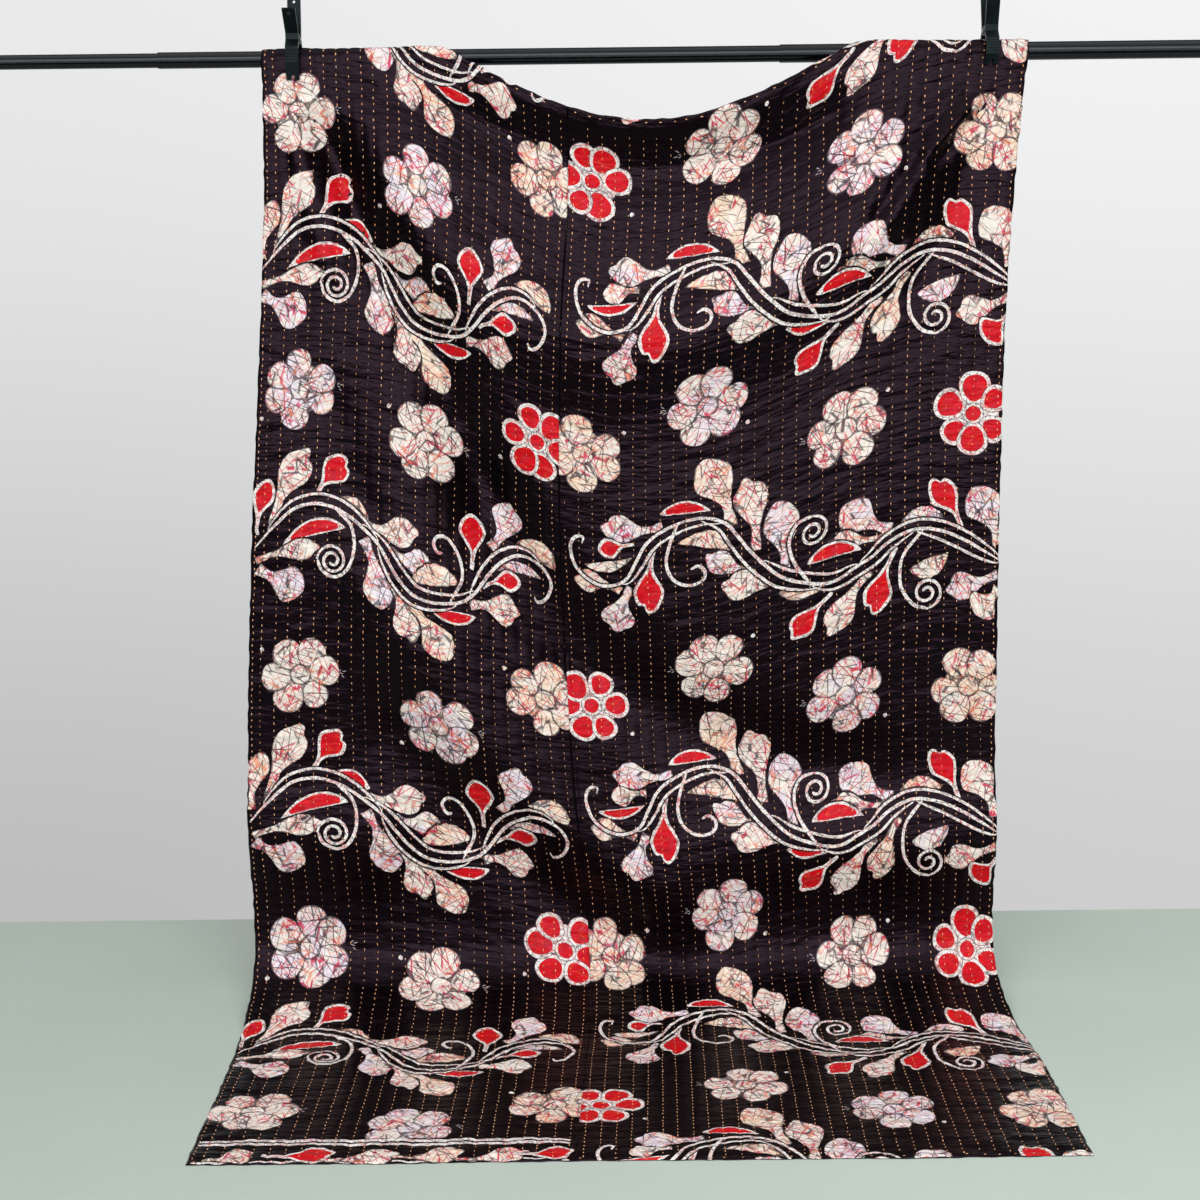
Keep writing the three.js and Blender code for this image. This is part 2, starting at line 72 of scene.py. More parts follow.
# How it hangs, the same as in the solids (mm)
BAR_RADIUS_LEFT = 13.5
BAR_RADIUS_RIGHT = 15.0
BAR_RADIUS_CHANGE = (600.0, 850.0)
CLOTH_CLEARANCE = 1.35
EDGE_CLEARANCE = 2.0
HEM_CROSSING = 24.0
FOOT_BEND_RADIUS = 220.0
FLOOR_RUN = 445.0
CORNER_FLAP = 48.0
SWAG_DEPTH = 134.0
SWAG_CENTRE = 715.0
SWAG_REACH_LEFT = 612.0
SWAG_REACH_RIGHT = 546.0
SWAG_LIP = 20.0
SWAG_LIP_WIDTH = 45.0
FOLD_START = (62.0, 130.0)
FOLD_END = (0.35, 0.95)

# Sections down the quilt: drop along the cloth from the bar's crest, places of the left edge,
# seam and right edge, and how far the cloth stands forward of the bar
SECTION_COLUMNS = ("drop", "left", "seam", "right", "forward")
SECTIONS = np.array([
    (0, -556, -46, 729, 0),
    (235, -558, -46, 707, 12),
    (500, -574, -62, 693, 26),
    (845, -599, -68, 688, 46),
    (1200, -621, -54, 691, 42),
    (1500, -626, -30, 696, 30),
    (1680, -623, -24, 700, 26),
    (1893, -617, -32, 714, 26),
    (2243, -616, -46, 712, 26),
], float)

# Main folds: start, bow point and end as (across, drop), height (below 0 is a trough), width
FOLDS = [
    ("swag bulge", (-470, 60), (30, 960), (640, 60), 34, 92),
    ("swag hollow", (-330, 40), (75, 400), (520, 40), -22, 50),
    ("clamp trough", (-495, 80), (-300, 420), (-150, 900), -26, 50),
    ("long trough", (-260, 560), (-80, 1300), (600, 1265), -36, 74),
    ("long ridge", (-420, 760), (-280, 1300), (300, 1600), 28, 74),
    ("low trough", (-420, 1080), (-200, 1475), (220, 1650), -20, 58),
    ("left low ridge", (-860, 1330), (-560, 1350), (-330, 1390), 24, 88),
    ("right low ridge", (60, 1420), (380, 1390), (960, 1370), 28, 88),
    ("foot trough", (-900, 1600), (40, 1630), (980, 1590), -36, 90),
    ("left trough", (-470, 545), (-420, 760), (-330, 1000), -10, 36),
    ("left clamp ridge", (-505, 60), (-485, 200), (-420, 330), 8, 26),
    ("right clamp ridge", (650, 50), (540, 240), (430, 400), 9, 24),
    ("right clamp trough", (610, 50), (500, 180), (400, 280), -8, 24),
    ("right edge trough", (690, 60), (600, 300), (520, 470), -9, 28),
]
# Finer creases that the clamps draw in the cloth, which the solids leave out; the same columns
CREASES = [
    ("left clamp crease", (-482, 85), (-450, 190), (-345, 430), -15, 27),
    ("left clamp crest", (-508, 105), (-495, 240), (-440, 420), 7, 18),
    ("right first crease", (642, 82), (580, 135), (505, 200), -10, 12),
    ("right first crest", (655, 98), (600, 152), (528, 226), 6, 10),
    ("right second crease", (674, 100), (626, 150), (556, 225), -9, 11),
    ("right third crease", (548, 190), (516, 232), (450, 330), -9, 13),
    ("swag crease", (250, 190), (330, 175), (430, 120), -5, 12),
    ("lower crease", (-250, 905), (-120, 1020), (30, 1100), -6, 16),
]
FOLD_STEPS = 16
FOLD_TAPER = 0.16


def smoothstep(low, high, value):
    s = np.clip((value - low) / (high - low), 0.0, 1.0)
    return s * s * (3.0 - 2.0 * s)


def section(column, drop):
    """A column of the sections at each drop, on a smooth curve through the rows."""
    at = SECTIONS[:, 0]
    value = SECTIONS[:, SECTION_COLUMNS.index(column)]
    slope = np.empty_like(value)
    slope[1:-1] = (value[2:] - value[:-2]) / (at[2:] - at[:-2])
    slope[0] = (value[1] - value[0]) / (at[1] - at[0])
    slope[-1] = (value[-1] - value[-2]) / (at[-1] - at[-2])
    i = np.clip(np.searchsorted(at, drop) - 1, 0, len(at) - 2)
    span = at[i + 1] - at[i]
    s = np.clip((drop - at[i]) / span, 0.0, 1.0)
    s2, s3 = s * s, s * s * s
    start = value[i] * (2 * s3 - 3 * s2 + 1) + slope[i] * span * (s3 - 2 * s2 + s)
    return start + value[i + 1] * (3 * s2 - 2 * s3) + slope[i + 1] * span * (s3 - s2)


def hem_drop(flat_x):
    """Drop of the top hem below the bar's crest; below 0 it is folded back over the bar."""
    reach = np.where(flat_x < SWAG_CENTRE, SWAG_REACH_LEFT, SWAG_REACH_RIGHT)
    angle = np.minimum(1.0, np.abs(flat_x - SWAG_CENTRE) / reach) * math.pi / 2
    return -CORNER_FLAP + (CORNER_FLAP + SWAG_DEPTH) * np.cos(angle) ** 2


def wrap_radius(flat_x):
    """Radius of the cloth's middle layer where it goes over the bar."""
    side = smoothstep(*BAR_RADIUS_CHANGE, flat_x)
    bar = BAR_RADIUS_LEFT + (BAR_RADIUS_RIGHT - BAR_RADIUS_LEFT) * side
    crossing = np.exp(-((hem_drop(flat_x) / HEM_CROSSING) ** 2))
    return bar + CLOTH_CLEARANCE + EDGE_CLEARANCE * crossing + THICKNESS / 2


BAR_HEIGHT = BAR_Z / MM
FLOOR_MIDDLE = THICKNESS / 2
STRAIGHT = BAR_HEIGHT - FLOOR_MIDDLE - FOOT_BEND_RADIUS


def front_length(radius):
    """Length of the cloth from the bar's crest to the bottom hem."""
    return (radius + FOOT_BEND_RADIUS) * math.pi / 2 + STRAIGHT + FLOOR_RUN


def side_profile(drop, radius):
    """Side view of the cloth: y, z, the printed face's direction, and the share of the foot's bend."""
    quarter = radius * math.pi / 2
    over = np.clip(drop / radius, -math.pi / 2, math.pi / 2)
    behind = np.minimum(0.0, drop + quarter)
    down = np.maximum(0.0, drop - quarter)
    bend = np.clip((down - STRAIGHT) / FOOT_BEND_RADIUS, 0.0, math.pi / 2)
    run = np.maximum(0.0, down - STRAIGHT - FOOT_BEND_RADIUS * math.pi / 2)
    hang = np.minimum(down, STRAIGHT)
    y = -radius * np.sin(over) - FOOT_BEND_RADIUS * (1 - np.cos(bend)) - run
    z = BAR_HEIGHT + radius * np.cos(over) + behind - hang - FOOT_BEND_RADIUS * np.sin(bend)
    hanging = drop >= quarter
    face_y = np.where(hanging, -np.cos(bend), -np.sin(over))
    face_z = np.where(hanging, np.sin(bend), np.cos(over))
    return y, z, face_y, face_z, bend / (math.pi / 2)


def fold_height(fold, x, drop):
    """How far one fold lifts the cloth at each place."""
    _, start, bow, end, height, width = fold
    s = np.linspace(0.0, 1.0, FOLD_STEPS + 1)
    line = [((1 - s) ** 2) * start[k] + 2 * s * (1 - s) * bow[k] + s * s * end[k] for k in (0, 1)]
    ends = smoothstep(0.0, FOLD_TAPER, s) * smoothstep(0.0, FOLD_TAPER, 1.0 - s)
    nearest = np.full(x.shape, np.inf)
    strength = np.zeros(x.shape)
    for k in range(FOLD_STEPS):
        dx, dd = line[0][k + 1] - line[0][k], line[1][k + 1] - line[1][k]
        off_x, off_d = x - line[0][k], drop - line[1][k]
        along = np.clip((off_x * dx + off_d * dd) / (dx * dx + dd * dd), 0.0, 1.0)
        away = np.hypot(off_x - along * dx, off_d - along * dd)
        closer = away < nearest
        nearest = np.where(closer, away, nearest)
        strength = np.where(closer, ends[k] + along * (ends[k + 1] - ends[k]), strength)
    return height * strength * np.exp(-((nearest / width) ** 2))


def fold_sum(x, flat_x, drop, foot):
    """Lift of all the folds together, and of the lip along the sagging hem."""
    hem = hem_drop(flat_x)
    middle = np.maximum(0.0, hem / SWAG_DEPTH)
    lip = SWAG_LIP * middle * np.exp(-(((drop - hem) / SWAG_LIP_WIDTH) ** 2))
    start = smoothstep(*FOLD_START, drop)
    start = start + (1.0 - start) * middle
    end = 1.0 - smoothstep(*FOLD_END, foot)
    return lip + sum(fold_height(fold, x, drop) for fold in FOLDS + CREASES) * start * end


def cloth_point(flat_x, flat_v):
    """The quilt's middle layer at flat places: x from its left edge, v down from its top hem (mm)."""
    radius = wrap_radius(flat_x)
    hem = hem_drop(flat_x)
    drop = hem + (front_length(radius) - hem) * flat_v / QUILT_LENGTH
    seam = section("seam", drop)
    left, right = section("left", drop), section("right", drop)
    x = np.where(
        flat_x < LEFT_WIDTH,
        left + (seam - left) * flat_x / LEFT_WIDTH,
        seam + (right - seam) * (flat_x - LEFT_WIDTH) / RIGHT_WIDTH,
    )
    y, z, face_y, face_z, foot = side_profile(drop, radius)
    lift = fold_sum(x, flat_x, drop, foot)
    forward = section("forward", drop) * smoothstep(*FOLD_START, drop)
    return np.stack([x, y + lift * face_y - forward, z + lift * face_z], axis=-1)


def cloth_normal(flat_x, flat_v, step=1.0):
    """Direction of the printed face, from the places a step away."""
    across = cloth_point(flat_x + step, flat_v) - cloth_point(flat_x - step, flat_v)
    down = cloth_point(flat_x, flat_v + step) - cloth_point(flat_x, flat_v - step)
    normal = np.cross(down, across)
    return normal / np.linalg.norm(normal, axis=-1, keepdims=True)


def to_frame(points_mm):
    """Cloth places in the shared frame, in metres."""
    return points_mm * MM + np.array([0.0, BAR_Y, 0.0])


def make_camera():
    data = bpy.data.cameras.new("photo_camera")
    data.sensor_width = CAMERA_SENSOR
    data.lens = CAMERA_SENSOR * CAMERA_FOCUS / PHOTO_SIZE
    camera = bpy.data.objects.new("photo_camera", data)
    bpy.context.collection.objects.link(camera)
    place = Vector((0.0, BAR_Y - CAMERA_DISTANCE, CAMERA_HEIGHT))
    turn = Matrix.Rotation(math.pi / 2 - CAMERA_PITCH, 4, "X") @ Matrix.Rotation(-CAMERA_ROLL, 4, "Z")
    camera.matrix_world = Matrix.Translation(place) @ turn
    bpy.context.scene.camera = camera


make_camera()

# Printed design, in flat quilt places (mm). Each shape is a closed outline with a dye;
# later shapes lie over earlier ones.
DYES = {
    "ground": (0.0008, 0.0004, 0.0006),
    "cream": (0.86, 0.79, 0.71),
    "lilac": (0.80, 0.73, 0.79),
    "peach": (0.87, 0.70, 0.54),
    "white": (0.88, 0.85, 0.81),
    "red": (0.62, 0.004, 0.008),
    "faint": (0.34, 0.30, 0.31),
    "line": (0.085, 0.065, 0.072),
}
# How strongly the cracks of the wax show on each dye
WAX = {"cream": 1.0, "lilac": 1.0, "peach": 1.0, "white": 0.55, "red": 0.25, "faint": 0.1, "line": 0.1}
REPEAT = 480.0
# Steps along the outlines of motifs and of lines, and how far a hand strays from them
RING_STEP = 5.0
RING_SHAKE = 0.45
STROKE_STEP = 4.0
STROKE_SHAKE = 0.3
SPIRAL_SHAKE = 0.25
BORDER_SHAKE = 0.5
FEWEST_POINTS = 12
# Dark channel round a leaf or a line, and white outline round a red leaf
CHANNEL = 2.4
OUTLINE = 5.5
BLADE_OUTLINE = 3.96

shapes = []


def add_shape(ring, dye, panel):
    shapes.append({"ring": np.asarray(ring, float), "dye": dye, "panel": panel})


def even_ring(ring, seed, shake=RING_SHAKE, step=RING_STEP):
    """The outline again with even steps and a slightly uneven hand."""
    closed = np.vstack([ring, ring[:1]])
    length = np.concatenate([[0.0], np.cumsum(np.hypot(*np.diff(closed, axis=0).T))])
    count = max(FEWEST_POINTS, int(length[-1] / step))
    at = np.linspace(0.0, length[-1], count, endpoint=False)
    even = np.stack([np.interp(at, length, closed[:, k]) for k in (0, 1)], axis=1)
    stray = np.random.default_rng(seed).normal(0.0, shake, even.shape)
    return even + (stray + np.roll(stray, 1, axis=0)) / 2


def circle(middle, radius, angle):
    return middle + radius * np.stack([np.cos(angle), np.sin(angle)], axis=1)


def full_turn(steps):
    return np.linspace(0.0, 2 * math.pi, steps, endpoint=False)


def smooth_line(points, steps=8):
    """A soft line through a few placed points."""
    points = np.asarray(points, float)
    slope = np.gradient(points, axis=0)
    s = np.linspace(0.0, 1.0, steps, endpoint=False)[:, None]
    spans = []
    for k in range(len(points) - 1):
        start = points[k] * (2 * s**3 - 3 * s**2 + 1) + slope[k] * (s**3 - 2 * s**2 + s)
        spans.append(start + points[k + 1] * (3 * s**2 - 2 * s**3) + slope[k + 1] * (s**3 - s**2))
    return np.vstack(spans + [points[-1:]])


def across_line(line):
    """The way across a line at each of its points."""
    way = np.gradient(line, axis=0)
    way = way / np.linalg.norm(way, axis=1, keepdims=True)
    return np.stack([-way[:, 1], way[:, 0]], axis=1)


def stroke_ring(line, width, taper=0.22, thin=0.35):
    """Outline of a brush stroke along a line, thinner at both ends."""
    side = across_line(line)
    s = np.linspace(0.0, 1.0, len(line))
    half = width / 2 * (thin + (1 - thin) * smoothstep(0, taper, s) * smoothstep(0, taper, 1 - s))
    return np.vstack([line + side * half[:, None], (line - side * half[:, None])[::-1]])


def leaf_frame(base, tip, bow, share):
    """Places on a leaf's bowed middle line, the way along it and the way across it."""
    base, tip = np.asarray(base, float), np.asarray(tip, float)
    run = tip - base
    bend = (base + tip) / 2 + np.array([-run[1], run[0]]) * bow
    s = np.asarray(share, float)[:, None]
    place = (1 - s) ** 2 * base + 2 * s * (1 - s) * bend + s * s * tip
    way = 2 * (1 - s) * (bend - base) + 2 * s * (tip - bend)
    way = way / np.linalg.norm(way, axis=1, keepdims=True)
    return place, way, np.stack([-way[:, 1], way[:, 0]], axis=1)


# Paddle leaves: where the neck ends and the head starts (shares of the length), how the neck widens,
# neck and flare at the stem (shares of the width), and least half-width (mm)
NECK_END = 0.22
HEAD_AT = 0.64
HEAD_FULL = HEAD_AT + 0.07
NECK_SWELL = 1.3
INNER_START = 0.12
PADDLE_FULLNESS = 1.10
PADDLE_CURL = 1.7
PALE_NECK = (0.24, 0.12)
RED_NECK = (0.15, 0.0)
PADDLE_LEAST = 0.5
# Heads: height of the lobes (share of the head), how many waves they make round it,
# depth of the notch beside the tip
LOBES = {"round": (0.03, 4, 0.0), "lobed": (0.07, 5, 0.12), "forked": (0.04, 3, 0.27)}
NOTCH_AT = 0.42
NOTCH_WIDTH = 0.24
# Blade leaves: inner outline's start and end, how the swelling leans and fills, share on the bowed side
BLADE_INNER = (0.14, 0.88)
BLADE_LEAN = 1.15
BLADE_FULLNESS = 0.75
BLADE_BOWED = 0.72
BLADE_FLAT = 0.28
BLADE_LEAST = 0.3
SCALLOPS = 6.0
SCALLOP_HEIGHT = 0.13


def paddle_leaf(base, tip, bow, width, head, inset, neck):
    """A leaf that flares from the stem through a neck into a round, lobed or forked head."""
    length = math.dist(base, tip)
    lobe, count, notch = LOBES[head]
    least, flare = neck
    width = width * PADDLE_FULLNESS
    bow = bow * PADDLE_CURL
    s = np.linspace(INNER_START if inset else 0.0, HEAD_AT, 15)
    place, _, side = leaf_frame(base, tip, bow, s)
    half = least + (1.0 - least) * smoothstep(NECK_END, HEAD_FULL, s) ** NECK_SWELL
    half = half + flare * (1.0 - smoothstep(0.0, NECK_END, s))
    half = np.maximum(half * width / 2 - inset, PADDLE_LEAST)[:, None]
    middle, way, across = leaf_frame(base, tip, bow, [HEAD_AT])
    angle = np.linspace(math.pi / 2, -math.pi / 2, 24)[1:-1]
    swell = 1.0 + lobe * np.cos(count * angle) * np.cos(angle) ** 0.5
    swell = swell - notch * np.exp(-(((angle - NOTCH_AT) / NOTCH_WIDTH) ** 2))
    reach = (1 - HEAD_AT) * length - inset
    out = middle + way * (np.cos(angle) * swell * reach)[:, None]
    out = out + across * (np.sin(angle) * swell * (width / 2 - inset))[:, None]
    return np.vstack([place + side * half, out, (place - side * half)[::-1]])


def blade_leaf(base, tip, bow, width, head, inset):
    """A leaf pointed at both ends that swells to one side, with or without scallops."""
    first, last = BLADE_INNER if inset else (0.0, 1.0)
    s = np.linspace(first, last, 30)
    place, _, side = leaf_frame(base, tip, bow, s)
    swell = np.sin(math.pi * s**BLADE_LEAN) ** BLADE_FULLNESS
    if head == "scalloped":
        swell = swell * (1.0 + SCALLOP_HEIGHT * np.abs(np.sin(SCALLOPS * math.pi * s)))
    way = math.copysign(1.0, bow * width)
    swell = swell * abs(width)
    outer = place + side * way * np.maximum(BLADE_BOWED * swell - inset, BLADE_LEAST)[:, None]
    inner = place - side * way * np.maximum(BLADE_FLAT * swell - inset * 0.5, BLADE_LEAST)[:, None]
    return np.vstack([outer, inner[::-1]])


def add_leaf(panel, base, tip, bow, width, head, dye, seed, slim=False):
    """A pale leaf, or a red one set in white, parted from what lies under it by a dark channel."""
    red = dye == "red"
    if head in ("blade", "scalloped"):
        channel, outer, inner = (blade_leaf(base, tip, bow, width, head, inset)
                                 for inset in (-CHANNEL, 0.0, BLADE_OUTLINE))
    else:
        neck = RED_NECK if slim or red else PALE_NECK
        channel, outer, inner = (paddle_leaf(base, tip, bow, width, head, inset, neck)
                                 for inset in (-CHANNEL, 0.0, OUTLINE))
    add_shape(even_ring(channel, seed), "ground", panel)
    add_shape(even_ring(outer, seed), "white" if red else dye, panel)
    if red:
        add_shape(even_ring(inner, seed + 1), "red", panel)


# Flowers: petals and middle (mm), how petals vary, and what lies beside a flower
PETALS = 6
PETAL_LENGTH = 54.0
PETAL_WIDTH = 50.0
PETAL_REACH = 42.5
PETAL_FLARE = 0.20
PETAL_SIZES = (0.88, 1.08)
PETAL_STRAY = 0.09
PETAL_LINE = 1.0
PETAL_STEPS = 40
FLOWER_CENTRE = 17.5
FLOWER_BED = 44.0
RED_INSET = 6.0
RED_CENTRE_INSET = 4.2
DOT_RADIUS = 3.8
DOT_ASIDE = 70
DOT_BELOW = 50
DOT_ABOVE = -46
DOT_STEPS = 12
DOT_SHAKE = 0.35
TICKS = 4
TICKS_ASIDE = 67
TICKS_ABOVE = 6
TICK_FAN = 0.42
TICK_WIDTH = 1.8
TICK_START = 3
TICK_STAGGER = 5
TICK_LENGTH = (5, 8)
# Lines beside a stem: how fast they leave it. Spirals: steps to a turn, and how they close
BESIDE_SWELL = 0.45
SPIRAL_STEPS = 26
SPIRAL_CLOSING = 0.85


def add_flower(panel, x, v, dye, turn, seed):
    """Egg-shaped petals about a round middle, parted by fine dark lines; red ones are set in white."""
    rng = np.random.default_rng(seed)
    middle = np.array([x, v])
    angle = full_turn(PETAL_STEPS)
    sizes = rng.uniform(*PETAL_SIZES, PETALS)
    tilt = turn + np.arange(PETALS) * 2 * math.pi / PETALS + rng.normal(0.0, PETAL_STRAY, PETALS)
    red = dye == "red"
    outer = "white" if red else dye

    def petal(size, way, grow):
        out = np.array([math.cos(way), math.sin(way)])
        side = np.array([-out[1], out[0]])
        along = np.cos(angle) * (PETAL_LENGTH * size / 2 + grow)
        wide = np.sin(angle) * (1.0 + PETAL_FLARE * np.cos(angle)) * (PETAL_WIDTH * size / 2 + grow)
        return middle + out * (PETAL_REACH + along)[:, None] + side * wide[:, None]

    add_shape(even_ring(circle(middle, FLOWER_BED, angle), seed + 1), outer, panel)
    for k, (size, way) in enumerate(zip(sizes, tilt)):
        add_shape(even_ring(petal(size, way, PETAL_LINE), seed + 2 + k), "line", panel)
        add_shape(even_ring(petal(size, way, 0.0), seed + 2 + k), outer, panel)
        if red:
            add_shape(even_ring(petal(size, way, -RED_INSET), seed + 12 + k), dye, panel)
    add_shape(even_ring(circle(middle, FLOWER_CENTRE + PETAL_LINE, angle), seed + 9), "line", panel)
    add_shape(even_ring(circle(middle, FLOWER_CENTRE, angle), seed + 9), outer, panel)
    if red:
        add_shape(even_ring(circle(middle, FLOWER_CENTRE - RED_CENTRE_INSET, angle), seed + 10), dye, panel)


def add_dot(panel, x, v, seed):
    ring = circle(np.array([x, v]), DOT_RADIUS, full_turn(DOT_STEPS))
    stray = np.random.default_rng(seed).normal(0.0, DOT_SHAKE, (DOT_STEPS, 2))
    add_shape(ring + stray, "white", panel)


def add_ticks(panel, x, v, way, seed):
    """A few short brush ticks fanned out beside a flower."""
    rng = np.random.default_rng(seed)
    for k in range(TICKS):
        turn = way + (k - (TICKS - 1) / 2) * TICK_FAN
        out = np.array([math.cos(turn), math.sin(turn)])
        start = np.array([x, v]) + out * (TICK_START + TICK_STAGGER * (k % 2))
        end = start + out * rng.uniform(*TICK_LENGTH)
        add_shape(stroke_ring(np.linspace(start, end, 4), TICK_WIDTH), "faint", panel)


def beside(places, off, first, last):
    """A line that runs beside a stem for a share of its way and meets it at both ends."""
    line = smooth_line(places)
    s = np.linspace(0.0, 1.0, len(line))
    inside = np.clip((s - first) / (last - first), 0.0, 1.0)
    gap = off * np.sin(math.pi * inside) ** BESIDE_SWELL
    moved = line + across_line(line) * gap[:, None]
    return moved[(s >= first) & (s <= last)]


def spiral_line(centre, radius, inner, turns, start, clockwise):
    """A closing spiral, from its outside in."""
    s = np.linspace(0.0, 1.0, int(SPIRAL_STEPS * turns))
    angle = start + (1 if clockwise else -1) * s * turns * 2 * math.pi
    reach = radius + (inner - radius) * s**SPIRAL_CLOSING
    return circle(np.asarray(centre), reach[:, None], angle)


# Flowers: panel, x, first v, repeat, dye of even and odd rows, side of the dot and ticks
FLOWER_COLUMNS = ("panel", "x", "v", "repeat", "even", "odd", "side")
FLOWERS = [
    ("left", 94, 158, 478, "cream", "lilac", -1),
    ("left", 341, 222, 478, "lilac", "cream", -1),
    ("left", 530, 130, 480, "peach", "red", -1),
    ("right", 612, 132, 480, "red", "peach", 1),
    ("right", 832, 72, 476, "cream", "lilac", 1),
    ("right", 1063, 190, 474, "lilac", "cream", 1),
    ("right", 1280, 204, 472, "peach", "red", 0),
]

# Leaves of one vine unit: base and tip as (x, v), bow (share of length), width, head,
# dyes of even and odd rows
LEFT_LEAVES = [
    ((0, 402), (24, 308), -0.10, 38, "round", "peach", "red"),
    ((31, 385), (94, 262), -0.12, 54, "lobed", "cream", "cream"),
    ((105, 340), (162, 270), -0.08, 50, "forked", "red", "red"),
    ((134, 338), (205, 366), 0.16, -36, "blade", "red", "peach"),
    ((50, 418), (165, 390), -0.14, 28, "blade", "red", "red"),
    ((0, 447), (118, 431), -0.08, 34, "lobed", "cream", "cream"),
    ((2, 460), (88, 496), 0.06, 60, "round", "lilac", "lilac"),
    ((193, 376), (300, 371), 0.10, 48, "lobed", "cream", "cream"),
    ((245, 412), (322, 419), 0.12, 44, "round", "lilac", "lilac"),
    ((285, 462), (372, 444), -0.10, 36, "scalloped", "peach", "peach"),
    ((197, 403), (230, 515), -0.08, 54, "round", "lilac", "lilac"),
    ((249, 463), (286, 566), -0.06, 48, "lobed", "cream", "cream"),
    ((286, 498), (350, 586), -0.06, 54, "round", "peach", "peach"),
    ((319, 500), (402, 495), 0.10, 24, "blade", "red", "red"),
    ((396, 414), (392, 317), 0.04, 46, "round", "red", "red"),
    ((429, 370), (462, 275), 0.12, 54, "lobed", "lilac", "lilac"),
    ((480, 344), (548, 374), -0.20, 36, "blade", "peach", "peach"),
    ((433, 408), (524, 397), -0.22, 20, "blade", "lilac", "lilac"),
    ((416, 442), (490, 418), -0.14, 36, "round", "red", "red"),
    ((392, 476), (478, 477), -0.06, 54, "lobed", "cream", "cream"),
]
RIGHT_LEAVES = [
    ((178, 291), (72, 288), -0.08, 50, "lobed", "lilac", "lilac"),
    ((128, 324), (64, 341), 0.06, 36, "round", "cream", "red"),
    ((124, 347), (38, 363), -0.14, 20, "blade", "red", "cream"),
    ((102, 412), (22, 398), 0.10, 40, "lobed", "peach", "peach"),
    ((124, 405), (95, 494), 0.10, 54, "lobed", "lilac", "lilac"),
    ((163, 329), (154, 456), 0.05, 50, "forked", "red", "red"),
    ((260, 268), (172, 272), 0.16, 24, "blade", "red", "red"),
    ((296, 300), (241, 180), 0.10, 62, "round", "peach", "peach"),
    ((337, 352), (315, 218), 0.08, 54, "lobed", "cream", "cream"),
    ((388, 412), (372, 275), 0.05, 58, "round", "lilac", "lilac"),
    ((202, 326), (305, 344), -0.18, 30, "scalloped", "peach", "peach"),
    ((341, 390), (254, 346), -0.10, 38, "lobed", "lilac", "lilac"),
    ((391, 419), (280, 404), -0.06, 50, "lobed", "cream", "cream"),
    ((450, 459), (376, 440), 0.18, -30, "blade", "red", "peach"),
    ((572, 386), (489, 322), -0.08, 58, "round", "lilac", "lilac"),
    ((559, 397), (463, 376), -0.06, 34, "lobed", "cream", "cream"),
    ((520, 410), (425, 403), 0.14, 28, "blade", "red", "red"),
    ((580, 398), (662, 374), -0.20, 30, "scalloped", "peach", "lilac"),
    ((696, 406), (642, 310), 0.08, 46, "forked", "red", "red"),
    ((759, 426), (706, 331), 0.08, 60, "round", "cream", "lilac"),
    ((470, 470), (400, 531), 0.06, 46, "lobed", "red", "red"),
    ((537, 450), (467, 548), 0.06, 48, "lobed", "cream", "cream"),
    ((581, 419), (541, 528), 0.06, 48, "forked", "peach", "red"),
    ((672, 438), (604, 462), -0.14, 32, "scalloped", "lilac", "peach"),
    ((759, 477), (667, 501), -0.06, 46, "lobed", "cream", "lilac"),
    ((761, 502), (714, 543), -0.08, 54, "round", "red", "cream"),
]

# Stems of one vine unit: the places they pass; the first is the main one
LEFT_STEMS = [
    [(-4, 424), (31, 387), (68, 357), (105, 349), (138, 354), (168, 367), (197, 386), (227, 410),
     (247, 438), (267, 464), (290, 483), (320, 489), (355, 484), (385, 471), (408, 445), (430, 411),
     (455, 384), (484, 367), (511, 369), (533, 384), (542, 408), (531, 436), (515, 446), (509, 436)],
    [(357, 480), (378, 436), (375, 402), (357, 374), (338, 369), (327, 383), (334, 399), (344, 397)],
    [(146, 358), (174, 384), (181, 422), (169, 458), (145, 473), (121, 462), (113, 442)],
]
RIGHT_STEMS = [
    [(38, 329), (40, 316), (25, 320), (18, 343), (29, 378), (54, 399), (81, 404), (111, 391),
     (129, 360), (147, 325), (172, 303), (211, 285), (250, 280), (285, 293), (307, 320), (329, 352),
     (355, 384), (382, 412), (416, 433), (454, 449), (481, 450), (508, 439), (538, 427), (568, 407),
     (611, 393), (655, 399), (698, 417), (733, 437), (764, 455)],
    [(205, 285), (190, 324), (183, 360), (194, 391), (220, 404), (245, 396), (250, 379), (238, 368),
     (225, 374)],
    [(430, 438), (404, 392), (396, 353), (410, 326), (437, 321)],
    [(627, 396), (596, 430), (588, 457), (591, 493), (612, 524), (637, 534)],
]
# Lines beside the main stem: how far off it (below 0 is above it), and the shares of its way
LEFT_BESIDE = [(-17, 0.03, 0.30), (-19, 0.25, 0.60), (16, 0.30, 0.54), (-17, 0.58, 0.80)]
RIGHT_BESIDE = [(17, 0.24, 0.46), (19, 0.42, 0.68), (-17, 0.56, 0.76), (17, 0.66, 0.86), (-16, 0.76, 1.0),
                (17, 0.86, 1.0)]

# Spirals: panel, centre, outer and inner radius, turns, angle where it starts, clockwise as seen
SPIRALS = [
    ("left", (141, 445), 29, 6, 1.9, 3.2, True),
    ("right", (437, 350), 28, 6, 1.7, -1.57, True),
    ("right", (634, 505), 29, 6, 1.7, 1.57, False),
]

